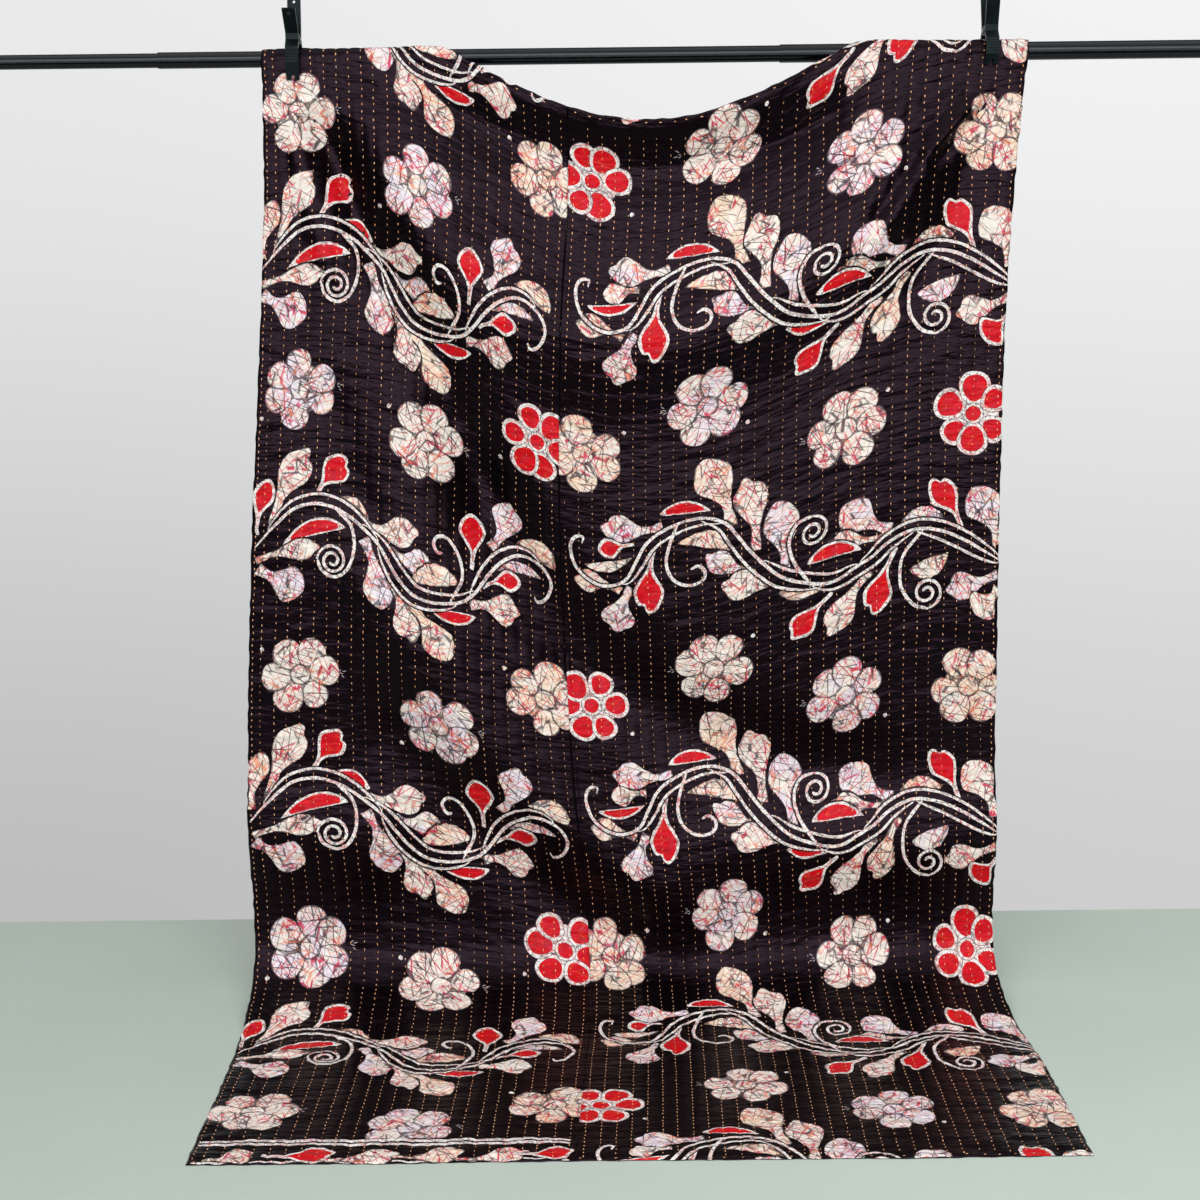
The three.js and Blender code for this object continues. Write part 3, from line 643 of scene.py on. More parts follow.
# Flowers that sit off their even places: column and row, then the move
FLOWER_MOVES = {
    (0, 0): (-27, 4), (0, 1): (-14, -16), (0, 3): (0, 14), (0, 4): (-26, 30),
    (1, 0): (-50, 31), (1, 1): (-22, -20), (1, 3): (-22, 6), (1, 4): (-26, 26),
    (2, 0): (0, 12), (2, 4): (0, 26), (3, 0): (0, -12), (3, 4): (-10, 26),
    (4, 1): (-8, -14), (4, 4): (0, 28), (5, 0): (7, 9), (5, 4): (-4, 24),
    (6, 0): (10, 4), (6, 4): (8, 28),
}

# How far each repeat of the vine sits from its even place, as the cloth was printed and hangs
LEFT_SHIFTS = {-1: (-5, 46), 0: (0, 0), 1: (10, -14), 2: (8, -10), 3: (8, 14)}
RIGHT_SHIFTS = {-1: (4, 20), 0: (4, 4), 1: (0, -6), 2: (0, -6), 3: (0, 0), 4: (14, 16)}
# Leaves that the cut-off repeat at the top lacks, by their rows in the table
MISSING_LEAVES = {("left", -1): (6,)}

# Widths of stems, of the lines beside them and of spirals, and how they taper: share of the
# length, thinnest share of the width
STEM_WIDTH = 5.6
STEM_TAPER = (0.06, 0.45)
BESIDE_WIDTH = 4.8
BESIDE_TAPER = (0.2, 0.4)
SPIRAL_WIDTH = 5.2
SPIRAL_TAPER = (0.1, 0.7)
# How far the right vine's start is raised, and the run across it in which that fades
RIGHT_RISE = 24.0
RIGHT_RISE_RUN = (160.0, 400.0)
# How far the ends of a leaf stray from their places
LEAF_STRAY = 1.6
BASE_STRAY = 0.4
FLOWER_ROWS = 5
FLOWER_TURN = (0.35, 0.5)
# Where the seeds of the uneven hand start
FLOWER_SEED = 1000
LEAF_STRAY_SEED = 7000
LEAF_SEED = 9000
STEM_SEED = 3000
SPIRAL_SEED = 600
BORDER_SEED = 300
DROP_SEED = 400


def lean(panel, places):
    """Places of a vine, with the right vine's start raised."""
    places = np.array(places, float)
    if panel == "right":
        places[..., 1] -= RIGHT_RISE * (1.0 - smoothstep(*RIGHT_RISE_RUN, places[..., 0]))
    return places


def lay_out_flowers():
    """All the flowers, column by column, with their dots and ticks."""
    for column, row in enumerate(FLOWERS):
        flower = dict(zip(FLOWER_COLUMNS, row))
        panel, side = flower["panel"], flower["side"]
        for k in range(FLOWER_ROWS):
            dye = flower["even"] if k % 2 == 0 else flower["odd"]
            seed = FLOWER_SEED + column * 100 + k * 11
            move = FLOWER_MOVES.get((column, k), (0, 0))
            x, v = flower["x"] + move[0], flower["v"] + k * flower["repeat"] + move[1]
            add_flower(panel, x, v, dye, FLOWER_TURN[0] * column + FLOWER_TURN[1] * k, seed)
            if side:
                off = DOT_BELOW if (column + k) % 2 else DOT_ABOVE
                way = 0.0 if side < 0 else math.pi
                add_dot(panel, x + side * DOT_ASIDE, v + off, seed)
                add_ticks(panel, x - side * TICKS_ASIDE, v - TICKS_ABOVE, way, seed)


def lay_out_leaves(panel, leaves, k, shift):
    """Leaves of one repeat of a vine."""
    for n, (base, tip, bow, width, head, even_dye, odd_dye) in enumerate(leaves):
        if n in MISSING_LEAVES.get((panel, k), ()):
            continue
        stray = np.random.default_rng(LEAF_STRAY_SEED + 60 * k + n).normal(0.0, LEAF_STRAY, (2, 2))
        base = lean(panel, base) + shift + stray[0] * BASE_STRAY
        tip = lean(panel, tip) + shift + stray[1]
        dye = even_dye if k % 2 == 0 else odd_dye
        add_leaf(panel, base, tip, bow, width, head, dye, LEAF_SEED + 60 * k + 2 * n)


def lay_out_lines(panel, stems, beside_main, k, shift):
    """Stems, lines beside the main stem and spirals of one repeat of a vine."""
    main = lean(panel, stems[0]) + shift
    strokes = []
    for off, first, last in beside_main:
        line = beside(main, off, first, last)
        between = np.vstack([line, beside(main, 0.0, first, last)[::-1]])
        add_shape(even_ring(between, 0, 0.0), "ground", panel)
        strokes.append((line, BESIDE_WIDTH, BESIDE_TAPER))
    for places in stems:
        strokes.append((smooth_line(lean(panel, places) + shift), STEM_WIDTH, STEM_TAPER))
    for line, width, taper in strokes:
        dark = stroke_ring(line, width + 2 * CHANNEL, *taper)
        add_shape(even_ring(dark, 0, 0.0, STROKE_STEP), "ground", panel)
    for i, (line, width, taper) in enumerate(strokes):
        ring = stroke_ring(line, width, *taper)
        add_shape(even_ring(ring, STEM_SEED + 40 * k + i, STROKE_SHAKE, STROKE_STEP), "white", panel)
    for i, (side, centre, *spiral) in enumerate(SPIRALS):
        if side == panel:
            ring = stroke_ring(spiral_line(np.array(centre) + shift, *spiral), SPIRAL_WIDTH, *SPIRAL_TAPER)
            add_shape(even_ring(ring, SPIRAL_SEED + 10 * k + i, SPIRAL_SHAKE, STROKE_STEP), "white", panel)


def lay_out_vines():
    """Every repeat of both panels' vines, down the quilt."""
    vines = (("left", 0.0, LEFT_LEAVES, LEFT_STEMS, LEFT_BESIDE, LEFT_SHIFTS),
             ("right", LEFT_WIDTH, RIGHT_LEAVES, RIGHT_STEMS, RIGHT_BESIDE, RIGHT_SHIFTS))
    for panel, from_x, leaves, stems, beside_main, shifts in vines:
        for k, move in shifts.items():
            shift = np.array([from_x, k * REPEAT]) + np.array(move)
            lay_out_leaves(panel, leaves, k, shift)
            lay_out_lines(panel, stems, beside_main, k, shift)


# Border at the left panel's foot: wavy lines at these places and widths, over a dark band
BORDER_LINES = [(2202.0, 7.4), (2213.0, 6.6), (2268.0, 4.6)]
BORDER_TAPER = (0.02, 0.6)
BORDER_TOP = 2196.0
BORDER_ENDS = (6.0, 562.0)
# Height and length of the lines' long and short waves, and how far each line's short waves lag
LONG_WAVE = (1.9, 17.0)
SHORT_WAVE = (1.1, 7.3)
WAVE_LAG = 0.5
# Drops that lie along the hem: places of tail and head, width, dye
DROPS = [
    ((22, 2262), (92, 2236), 46, "peach"),
    ((108, 2250), (214, 2237), 45, "red"),
    ((194, 2262), (308, 2240), 44, "cream"),
    ((300, 2254), (404, 2238), 44, "peach"),
    ((392, 2262), (500, 2240), 45, "cream"),
    ((480, 2252), (566, 2238), 42, "red"),
]
DROP_BOW = 0.10


def lay_out_border():
    """The printed border at the left panel's foot."""
    band = [(0, BORDER_TOP), (LEFT_WIDTH, BORDER_TOP), (LEFT_WIDTH, QUILT_LENGTH), (0, QUILT_LENGTH)]
    add_shape(band, "ground", "left")
    x = np.linspace(*BORDER_ENDS, 60)
    for row, (v, width) in enumerate(BORDER_LINES):
        wave = v + LONG_WAVE[0] * np.sin(x / LONG_WAVE[1])
        wave = wave + SHORT_WAVE[0] * np.sin(x / SHORT_WAVE[1] + row * WAVE_LAG)
        ring = stroke_ring(np.stack([x, wave], axis=1), width, *BORDER_TAPER)
        add_shape(even_ring(ring, BORDER_SEED + row, BORDER_SHAKE), "white", "left")
    for k, (tail, tip, width, dye) in enumerate(DROPS):
        add_leaf("left", tail, tip, DROP_BOW, width, "lobed", dye, DROP_SEED + 3 * k, slim=True)


lay_out_flowers()
lay_out_vines()
lay_out_border()

# Sewing and the puckers that it draws in the cloth (mm)
STITCH_PITCH = 23.3
STITCH_STEP = 12.4
STITCH_LENGTH = 4.7
THREAD_WIDTH = 1.9
THREAD_HEIGHT = 0.6
THREAD_SUNK = 0.15
HEM_STITCH = 7.0
HEM_STITCH_STEP = 1.9 * STITCH_STEP
SIDE_STITCH_STEP = 0.9 * STITCH_STEP
COLUMN_WANDER = (1.8, 190.0)
# Dips of the sewn lines, the outer edge, the hems' stitching and the seam: depth and half-width
LINE_DIP = (1.1, 3.6)
EDGE_DIP = (1.4, 2.0)
HEM_DIP = (0.7, 2.4)
SEAM_DIP = (0.7, 2.2)
# Puckers across the sewn lines: height; layers as size across and down, share, start and seed; what slants
# them, as size across and down, height and seed; strength, how much it changes and over what size
RIPPLE = 1.9
RIPPLE_SIZES = ((30.0, 11.0, 0.45, 0.0, 13), (62.0, 17.0, 0.70, 9.0, 14))
RIPPLE_SLANTS = ((170.0, 240.0, 9.0, 12), (50.0, 90.0, 4.0, 22))
RIPPLE_STRENGTH = (0.75, 0.45, 230.0)
LOWEST_RELIEF = -2.2
# Waves of the outer hems in the cloth's plane: height, how far in they reach, length
EDGE_WAVE = 1.2
EDGE_WAVE_DEPTH = 14.0
EDGE_WAVE_LENGTH = 13.0
NOISE_SIZE = 256


def soft_noise(x, y, seed):
    """Seeded soft noise from -1 to 1, with one random value to each lattice step."""
    table = np.random.default_rng(seed).uniform(-1.0, 1.0, (NOISE_SIZE, NOISE_SIZE))
    x, y = np.broadcast_arrays(np.asarray(x, float), np.asarray(y, float))
    left, top = np.floor(x).astype(int), np.floor(y).astype(int)
    s, t = x - left, y - top
    s, t = s * s * (3 - 2 * s), t * t * (3 - 2 * t)
    x0, x1 = left % NOISE_SIZE, (left + 1) % NOISE_SIZE
    y0, y1 = top % NOISE_SIZE, (top + 1) % NOISE_SIZE
    upper = table[y0, x0] * (1 - s) + table[y0, x1] * s
    lower = table[y1, x0] * (1 - s) + table[y1, x1] * s
    return upper * (1 - t) + lower * t


def column_wander(v):
    height, length = COLUMN_WANDER
    return height * soft_noise(v / length, 0.0, 11)


def dip(size, away):
    depth, half_width = size
    return -depth * np.exp(-((away / half_width) ** 2))


def relief(x, v):
    """How far the printed face stands off the plain thickness: puckers, stitch lines, hems and seam."""
    column = (x - column_wander(v)) / STITCH_PITCH
    lines = dip(LINE_DIP, np.abs(column - np.round(column)) * STITCH_PITCH)
    slant = v
    for size_x, size_v, height, seed in RIPPLE_SLANTS:
        slant = slant + height * soft_noise(x / size_x, v / size_v, seed)
    ripple = 0.0
    for size_x, size_v, share, start, seed in RIPPLE_SIZES:
        ripple = ripple + share * soft_noise(x / size_x + start, slant / size_v, seed)
    plain, change, size = RIPPLE_STRENGTH
    strong = plain + change * soft_noise(x / size, v / size, 15)
    edge = np.minimum(np.minimum(x, QUILT_WIDTH - x), np.minimum(v, QUILT_LENGTH - v))
    hem = dip(EDGE_DIP, edge) + dip(HEM_DIP, edge - HEM_STITCH)
    seam = dip(SEAM_DIP, x - LEFT_WIDTH)
    return np.maximum(lines + RIPPLE * strong * ripple + hem + seam, LOWEST_RELIEF)


def sewn_edge(x, v):
    """Flat places moved a little in the cloth's plane, so that its outer hems are not ruled lines."""

    def waves(along, away, row, seed):
        return soft_noise(along / EDGE_WAVE_LENGTH, row, seed) * np.exp(-away / EDGE_WAVE_DEPTH)

    sides = waves(v, x, 3.0, 16) + waves(v, QUILT_WIDTH - x, 8.0, 17)
    ends = waves(x, v, 3.0, 18) + waves(x, QUILT_LENGTH - v, 8.0, 19)
    return x + EDGE_WAVE * sides, v + EDGE_WAVE * ends


def face_point(x, v, face):
    """The printed face (1) or the reverse (-1) at flat places, and the printed face's direction there."""
    at_x, at_v = sewn_edge(x, v)
    normal = cloth_normal(at_x, at_v)
    rise = THICKNESS / 2 + relief(x, v) if face > 0 else np.full(len(x), -THICKNESS / 2)
    return cloth_point(at_x, at_v) + normal * rise[:, None], normal


def inside_ring(places, ring):
    """Which places lie inside a closed outline."""
    x1, v1 = ring[:, 0][None, :], ring[:, 1][None, :]
    x2, v2 = np.roll(ring[:, 0], -1)[None, :], np.roll(ring[:, 1], -1)[None, :]
    px, pv = places[:, 0][:, None], places[:, 1][:, None]
    spans = (v1 > pv) != (v2 > pv)
    rise = np.where(np.abs(v2 - v1) < 1e-9, 1e-9, v2 - v1)
    return (np.sum(spans & (px < x1 + (x2 - x1) * (pv - v1) / rise), axis=1) % 2) == 1


def overlaps(ring, others):
    """Whether an outline crosses or holds one of the others, or lies in it."""
    low, high = ring.min(axis=0), ring.max(axis=0)
    for other in others:
        near = np.all(other.min(axis=0) < high) and np.all(other.max(axis=0) > low)
        if near and (inside_ring(ring, other).any() or inside_ring(other, ring).any()):
            return True
    return False


# Net of the printed face (mm): steps down it, lines close to the hems, room beside an outline and
# beside the other lines
NET_STEP = 6.4
NET_COLUMNS = 4
NET_HEMS = [2.2, 4.6, 7.0]
NET_FROM_HEM = 9.5
NET_FIRST = 12.0
NET_LEAST = 1.5
OUTLINE_CLEARANCE = 2.2
# Shapes smaller than this are left out, and this much parts the two panels
LEAST_SHAPE = 0.8
VISUAL_GAP = 0.06
# The reverse's wider net, and its dye
BACK_STEP = 15.0
BACK_ROOM = 0.6 * BACK_STEP
BACK_DYE = (0.018, 0.015, 0.019)
# How far in from its outline a motif's depth is measured
MARK_DEPTH = 8.0


def spaced(values, gap):
    kept = []
    for value in sorted(values):
        if not kept or value - kept[-1] > gap:
            kept.append(value)
    return np.array(kept)


def grid_lines(from_x, to_x):
    """Lines of the flat net: a few to each stitch column, evenly apart down, closer at the hems."""
    first = math.ceil(from_x / STITCH_PITCH * NET_COLUMNS)
    last = math.floor(to_x / STITCH_PITCH * NET_COLUMNS)
    columns = np.arange(first, last + 1) * STITCH_PITCH / NET_COLUMNS
    across = [x for x in columns if from_x + NET_FROM_HEM < x < to_x - NET_FROM_HEM]
    across += [from_x + n for n in NET_HEMS] + [to_x - n for n in NET_HEMS]
    down = list(np.arange(NET_FIRST, QUILT_LENGTH - NET_FROM_HEM, NET_STEP))
    down += NET_HEMS + [QUILT_LENGTH - n for n in NET_HEMS]
    return spaced(across, NET_LEAST), spaced(down, NET_LEAST)


def border_loop(from_x, to_x, across, down):
    top = [(x, 0.0) for x in [from_x, *across]]
    right = [(to_x, v) for v in [0.0, *down]]
    bottom = [(x, QUILT_LENGTH) for x in [to_x, *across[::-1]]]
    left = [(from_x, v) for v in [QUILT_LENGTH, *down[::-1]]]
    return np.array(top + right + bottom + left)


def triangulate(loop, rings, inner):
    """Triangles between the border, the outlines and the inner places."""
    places, edges, count = [], [], 0
    for ring in [loop, *rings]:
        edges += [(count + i, count + (i + 1) % len(ring)) for i in range(len(ring))]
        places.append(ring)
        count += len(ring)
    corners = [Vector(place) for place in np.vstack(places + [inner]).tolist()]
    made = delaunay_2d_cdt(corners, edges, [], 0, 1e-4)
    return np.array([tuple(p) for p in made[0]]), np.array([f for f in made[2] if len(f) == 3])


def nearest_finder(places):
    """A function that gives how far a flat place is from the nearest of these places."""
    tree = KDTree(len(places))
    for i, (x, v) in enumerate(places.tolist()):
        tree.insert((x, v, 0.0), i)
    tree.balance()
    return lambda place: tree.find((place[0], place[1], 0.0))[2]


def keep_away(inner, rings, gap):
    """The inner places that are not too close to an outline."""
    distance = nearest_finder(np.vstack(rings))
    return inner[np.array([distance(place) > gap for place in inner.tolist()])]


def border_places(places, from_x, to_x):
    """Indices of the places on the border, in order round it."""
    x, v = places[:, 0], places[:, 1]
    near = 1e-3
    top = np.where(v < near)[0]
    right = np.where(x > to_x - near)[0]
    bottom = np.where(v > QUILT_LENGTH - near)[0]
    left = np.where(x < from_x + near)[0]
    order = [*top[np.argsort(x[top])], *right[np.argsort(v[right])]]
    order += [*bottom[np.argsort(-x[bottom])], *left[np.argsort(-v[left])]]
    seen = []
    for i in order:
        if i not in seen[-2:] and (not seen or i != seen[0]):
            seen.append(int(i))
    return np.array(seen)


def panel_shapes(panel, low, high):
    """Dyes and outlines of the shapes that show on a panel, cut at its edges."""
    dyes, rings, printed = [], [], []
    for shape in shapes:
        ring = np.clip(shape["ring"], low, high)
        if shape["panel"] != panel or np.any(np.ptp(ring, axis=0) <= LEAST_SHAPE):
            continue
        if shape["dye"] != "ground":
            printed.append(ring)
        elif not overlaps(ring, printed):
            continue
        dyes.append(shape["dye"])
        rings.append(ring)
    return dyes, rings


def face_owners(places, faces, rings):
    """The last outline that holds each face's middle, or -1 for the plain ground."""
    centres = places[faces].mean(axis=1)
    order = np.argsort(centres[:, 0])
    sorted_x = centres[order, 0]
    owner = np.full(len(faces), -1)
    for index, ring in enumerate(rings):
        first, last = np.searchsorted(sorted_x, (ring[:, 0].min(), ring[:, 0].max()))
        pick = order[first:last]
        pick = pick[(centres[pick, 1] > ring[:, 1].min()) & (centres[pick, 1] < ring[:, 1].max())]
        if len(pick):
            owner[pick[inside_ring(centres[pick], ring)]] = index
    return owner


def mark_depth(places, faces, owner, wax):
    """How far inside its motif each printed place lies, as a share of MARK_DEPTH."""
    least = np.full(len(places), len(owner))
    most = np.full(len(places), -2)
    np.minimum.at(least, faces.ravel(), np.repeat(owner, 3))
    np.maximum.at(most, faces.ravel(), np.repeat(owner, 3))
    distance = nearest_finder(places[least != most])
    depth = np.full(len(places), MARK_DEPTH)
    for i in np.unique(faces[wax > 0]).tolist():
        depth[i] = min(MARK_DEPTH, distance(places[i]))
    return depth / MARK_DEPTH


def store(mesh, name, kind, domain, field, values):
    made = mesh.attributes.new(name, kind, domain)
    made.data.foreach_set(field, np.ascontiguousarray(values, np.float32).ravel())


def store_map(mesh, name, values):
    layer = mesh.uv_layers.new(name=name)
    layer.data.foreach_set("uv", np.ascontiguousarray(values, np.float32).ravel())


def add_piece(name, mesh):
    mesh.shade_smooth()
    mesh.update()
    piece = bpy.data.objects.new(name, mesh)
    bpy.context.collection.objects.link(piece)
    return piece


# Map for baking: printed face on the left half, reverse on the right one, the hem's edge in a strip below;
# each as start and size
BAKE_ACROSS = (0.01, 0.47)
BAKE_BACK = 0.51
BAKE_DOWN = (0.03, 0.96)
BAKE_ROUND = (0.01, 0.97)
BAKE_EDGE = (0.002, 0.018)


def bake_map(share, corners, face_count, back_count, base, ring_ids):
    """Each corner's place on the bake map; share is its place on the panel, across and down."""
    sides = np.repeat(np.arange(len(corners) // 3), 3)
    is_edge = sides >= face_count + back_count
    is_back = (sides >= face_count) & ~is_edge
    across = BAKE_ACROSS[0] + BAKE_ACROSS[1] * share[:, 0] + BAKE_BACK * is_back
    bake = np.stack([across, BAKE_DOWN[0] + BAKE_DOWN[1] * share[:, 1]], axis=1)
    count = len(ring_ids)
    round_edge = {int(i): k / count for k, i in enumerate(ring_ids)}
    for i in np.where(is_edge)[0]:
        corner = int(corners[i])
        front = corner < base
        along = round_edge[corner] if front else (corner - base) / count
        bake[i] = (BAKE_ROUND[0] + BAKE_ROUND[1] * along, BAKE_EDGE[0] if front else BAKE_EDGE[1])
    return bake


def build_panel(name, panel, from_x, to_x):
    """One printed panel: a printed face, a plain reverse and the hem's edge between them."""
    low, high = np.array([from_x, 0.0]), np.array([to_x, QUILT_LENGTH])
    dyes, rings = panel_shapes(panel, low, high)
    across, down = grid_lines(from_x, to_x)
    inner = np.stack(np.meshgrid(across, down), axis=-1).reshape(-1, 2)
    inner = keep_away(inner, rings, OUTLINE_CLEARANCE)
    places, faces = triangulate(border_loop(from_x, to_x, across, down), rings, inner)
    owner = face_owners(places, faces, rings)
    dyes = ["ground", *dyes]
    dye = np.array([DYES[each] for each in dyes])[owner + 1]
    wax = np.array([WAX.get(each, 0.0) for each in dyes])[owner + 1]

    ring_ids = border_places(places, from_x, to_x)
    back_x = np.arange(from_x + BACK_STEP, to_x - BACK_ROOM, BACK_STEP)
    back_v = np.arange(BACK_STEP, QUILT_LENGTH - BACK_ROOM, BACK_STEP)
    back_inner = np.stack(np.meshgrid(back_x, back_v), axis=-1).reshape(-1, 2)
    back_places, back_faces = triangulate(places[ring_ids], [], back_inner)

    base, count = len(places), len(ring_ids)
    here = np.arange(count)
    after = np.roll(here, -1)
    edge = np.stack([ring_ids, ring_ids[after], base + after, base + here], axis=1)
    triangles = np.vstack([faces[:, ::-1], back_faces + base, edge[:, [0, 1, 2]], edge[:, [0, 2, 3]]])
    front, _ = face_point(places[:, 0], places[:, 1], 1)
    back, _ = face_point(back_places[:, 0], back_places[:, 1], -1)

    mesh = bpy.data.meshes.new(name)
    mesh.from_pydata(to_frame(np.vstack([front, back])).tolist(), [], triangles.tolist())
    plain = len(triangles) - len(faces)
    colors = np.vstack([dye, np.tile(BACK_DYE, (plain, 1))])
    depth = mark_depth(places, faces, owner, wax)
    store(mesh, "dye", "FLOAT_COLOR", "FACE", "color", np.hstack([colors, np.ones((len(colors), 1))]))
    store(mesh, "wax", "FLOAT", "FACE", "value", np.concatenate([wax, np.zeros(plain)]))
    store(mesh, "depth", "FLOAT", "POINT", "value", np.concatenate([depth, np.ones(len(back))]))
    corners = triangles.ravel()
    flat = np.vstack([places, back_places])[corners]
    share = (flat - low) / (high - low)
    store_map(mesh, "flat_cloth", flat * MM)
    store_map(mesh, "OFBake", bake_map(share, corners, len(faces), len(back_faces), base, ring_ids))
    return add_piece(name, mesh)


# A stitch's cross-sections: place along it (share of its length) and height of its top (below 0 is sunk)
STITCH_RINGS = ((-0.5, -0.5), (-0.30, 0.75), (0.30, 0.75), (0.5, -0.5))
STITCH_TOP = 0.75
# How far stitches stray: columns, steps, sideways (mm or share), slant, length
COLUMN_STRAY = 0.8
STEP_STRAY = 0.10
STITCH_STRAY = 0.35
STITCH_SLANT = 0.07
LENGTH_STRAY = 0.12
HEM_STRAY = 0.4
HEM_STEP_STRAY = 4.0
SIDE_SLANT = 0.06
# Lengths of the hems' stitches: mean share and how far they stray from it
HEM_STITCH_LENGTH = (0.9, 0.1)
SIDE_STITCH_LENGTH = (0.95, 0.1)
STITCH_SEED = 21
# Where the columns and the hems' stitches start and end, from the panel's edges (mm)
COLUMN_START = 14.0
COLUMN_END = 12.0
COLUMN_ROOM = (9.0, 5.0)
HEM_ROOM = (10.0, 6.0)
SIDE_ROOM = (12.0, 10.0)
MOST_STITCHES = 240


def stitch_rows(x, v, slant, length):
    return np.stack(np.broadcast_arrays(x, v, slant, length), axis=1)


def stitch_places(from_x, to_x, late):
    """Middles, slants and lengths of a panel's running stitches, column by column and along its hems."""
    rng = np.random.default_rng(STITCH_SEED)
    rows = []
    for k in range(0, int(QUILT_WIDTH / STITCH_PITCH) + 2):
        x0 = k * STITCH_PITCH + rng.normal(0.0, COLUMN_STRAY)
        steps = STITCH_STEP * rng.normal(1.0, STEP_STRAY, MOST_STITCHES)
        v = COLUMN_START + rng.uniform(0.0, STITCH_STEP) + np.cumsum(steps) + late * STITCH_STEP
        v = v[v < QUILT_LENGTH - COLUMN_END]
        x = x0 + column_wander(v) + rng.normal(0.0, STITCH_STRAY, len(v))
        slant = rng.normal(0.0, STITCH_SLANT, len(v))
        rows.append(stitch_rows(x, v, slant, rng.normal(1.0, LENGTH_STRAY, len(v))))
    columns = np.vstack(rows)
    across = columns[:, 0]
    found = [columns[(across > from_x + COLUMN_ROOM[0]) & (across < to_x - COLUMN_ROOM[1])]]
    for v in (HEM_STITCH, QUILT_LENGTH - HEM_STITCH):
        x = np.arange(from_x + HEM_ROOM[0], to_x - HEM_ROOM[1] - HEM_STITCH_STEP, HEM_STITCH_STEP)
        x = x + late * HEM_STITCH_STEP + rng.uniform(-HEM_STEP_STRAY, HEM_STEP_STRAY, len(x))
        at_v = v + rng.normal(0, HEM_STRAY, len(x))
        found.append(stitch_rows(x, at_v, math.pi / 2, rng.normal(*HEM_STITCH_LENGTH, len(x))))
    for x in (HEM_STITCH, QUILT_WIDTH - HEM_STITCH):
        if from_x < x < to_x:
            v = np.arange(SIDE_ROOM[0], QUILT_LENGTH - SIDE_ROOM[1], SIDE_STITCH_STEP)
            v = v + late * SIDE_STITCH_STEP
            at_x = x + rng.normal(0, HEM_STRAY, len(v))
            slant = rng.normal(0, SIDE_SLANT, len(v))
            found.append(stitch_rows(at_x, v, slant, rng.normal(*SIDE_STITCH_LENGTH, len(v))))
    return np.vstack(found)


def build_stitches(name, from_x, to_x):
    """The thread that shows on both faces of a panel, as one mesh."""
    points, faces, total = [], [], 0
    for face, late in ((1, 0.0), (-1, 0.5)):
        at = stitch_places(from_x, to_x, late)
        sine, cosine = np.sin(at[:, 2]), np.cos(at[:, 2])
        rings = []
        for along, rise in STITCH_RINGS:
            reach = along * STITCH_LENGTH * at[:, 3]
            x = at[:, 0] + sine * reach
            v = np.clip(at[:, 1] + cosine * reach, 1.0, QUILT_LENGTH - 1.0)
            point, normal = face_point(x, v, face)
            ahead = cloth_point(x + 1.0, v) - cloth_point(x - 1.0, v)
            ahead = ahead / np.linalg.norm(ahead, axis=1, keepdims=True)
            wide = ahead * cosine[:, None] + np.cross(ahead, normal) * sine[:, None]
            half = wide * THREAD_WIDTH / 2 * face
            out = normal * face
            low = point + out * min(rise, 0.0) - out * THREAD_SUNK
            rings += [low - half, point + out * rise * THREAD_HEIGHT / STITCH_TOP, low + half]
        block = np.stack(rings, axis=1)
        points.append(block.reshape(-1, 3))
        start = total + np.arange(len(block))[:, None] * len(rings)
        for r in range(len(STITCH_RINGS) - 1):
            for c in range(2):
                a = r * 3 + c
                faces.append(start + np.array([[a, a + 3, a + 4, a + 1]]))
        total += len(block) * len(rings)
    mesh = bpy.data.meshes.new(name)
    mesh.from_pydata(to_frame(np.vstack(points)).tolist(), [], np.vstack(faces).tolist())
    return add_piece(name, mesh)


def put(tree, kind, values=None, **settings):
    """A shader node with its settings; values that are sockets are linked."""
    made = tree.nodes.new(kind)
    for key, value in settings.items():
        setattr(made, key, value)
    for key, value in (values or {}).items():
        if isinstance(value, bpy.types.NodeSocket):
            tree.links.new(value, made.inputs[key])
        else:
            made.inputs[key].default_value = value
    return made


def mix(tree, factor, first, second, blend="MIX"):
    values = {0: factor, 6: first, 7: second}
    return put(tree, "ShaderNodeMix", values, data_type="RGBA", blend_type=blend).outputs[2]


def math_node(tree, operation, first, second=0.0):
    return put(tree, "ShaderNodeMath", {0: first, 1: second}, operation=operation).outputs[0]


def map_range(tree, value, low, high, to_low=0.0, to_high=1.0):
    values = {"Value": value, "From Min": low, "From Max": high, "To Min": to_low, "To Max": to_high}
    return put(tree, "ShaderNodeMapRange", values, interpolation_type="SMOOTHSTEP").outputs[0]


def noise(tree, place, scale, detail):
    values = {"Vector": place, "Scale": scale, "Detail": detail}
    return put(tree, "ShaderNodeTexNoise", values).outputs["Fac"]


def attribute(tree, name, output="Fac"):
    return put(tree, "ShaderNodeAttribute", attribute_name=name).outputs[output]


def object_place(tree):
    return put(tree, "ShaderNodeTexCoord").outputs["Object"]


def bump(tree, height, strength, distance, **below):
    values = {"Height": height, "Strength": strength, "Distance": distance, **below}
    return put(tree, "ShaderNodeBump", values).outputs[0]


def new_material(name, color, rough, specular, tint=(1.0, 1.0, 1.0)):
    material = bpy.data.materials.new(name)
    material.use_nodes = True
    tree = material.node_tree
    shader = tree.nodes["Principled BSDF"]
    shader.inputs["Base Color"].default_value = (*color, 1.0)
    shader.inputs["Roughness"].default_value = rough
    shader.inputs["Specular IOR Level"].default_value = specular
    shader.inputs["Specular Tint"].default_value = (*tint, 1.0)
    return material, tree, shader


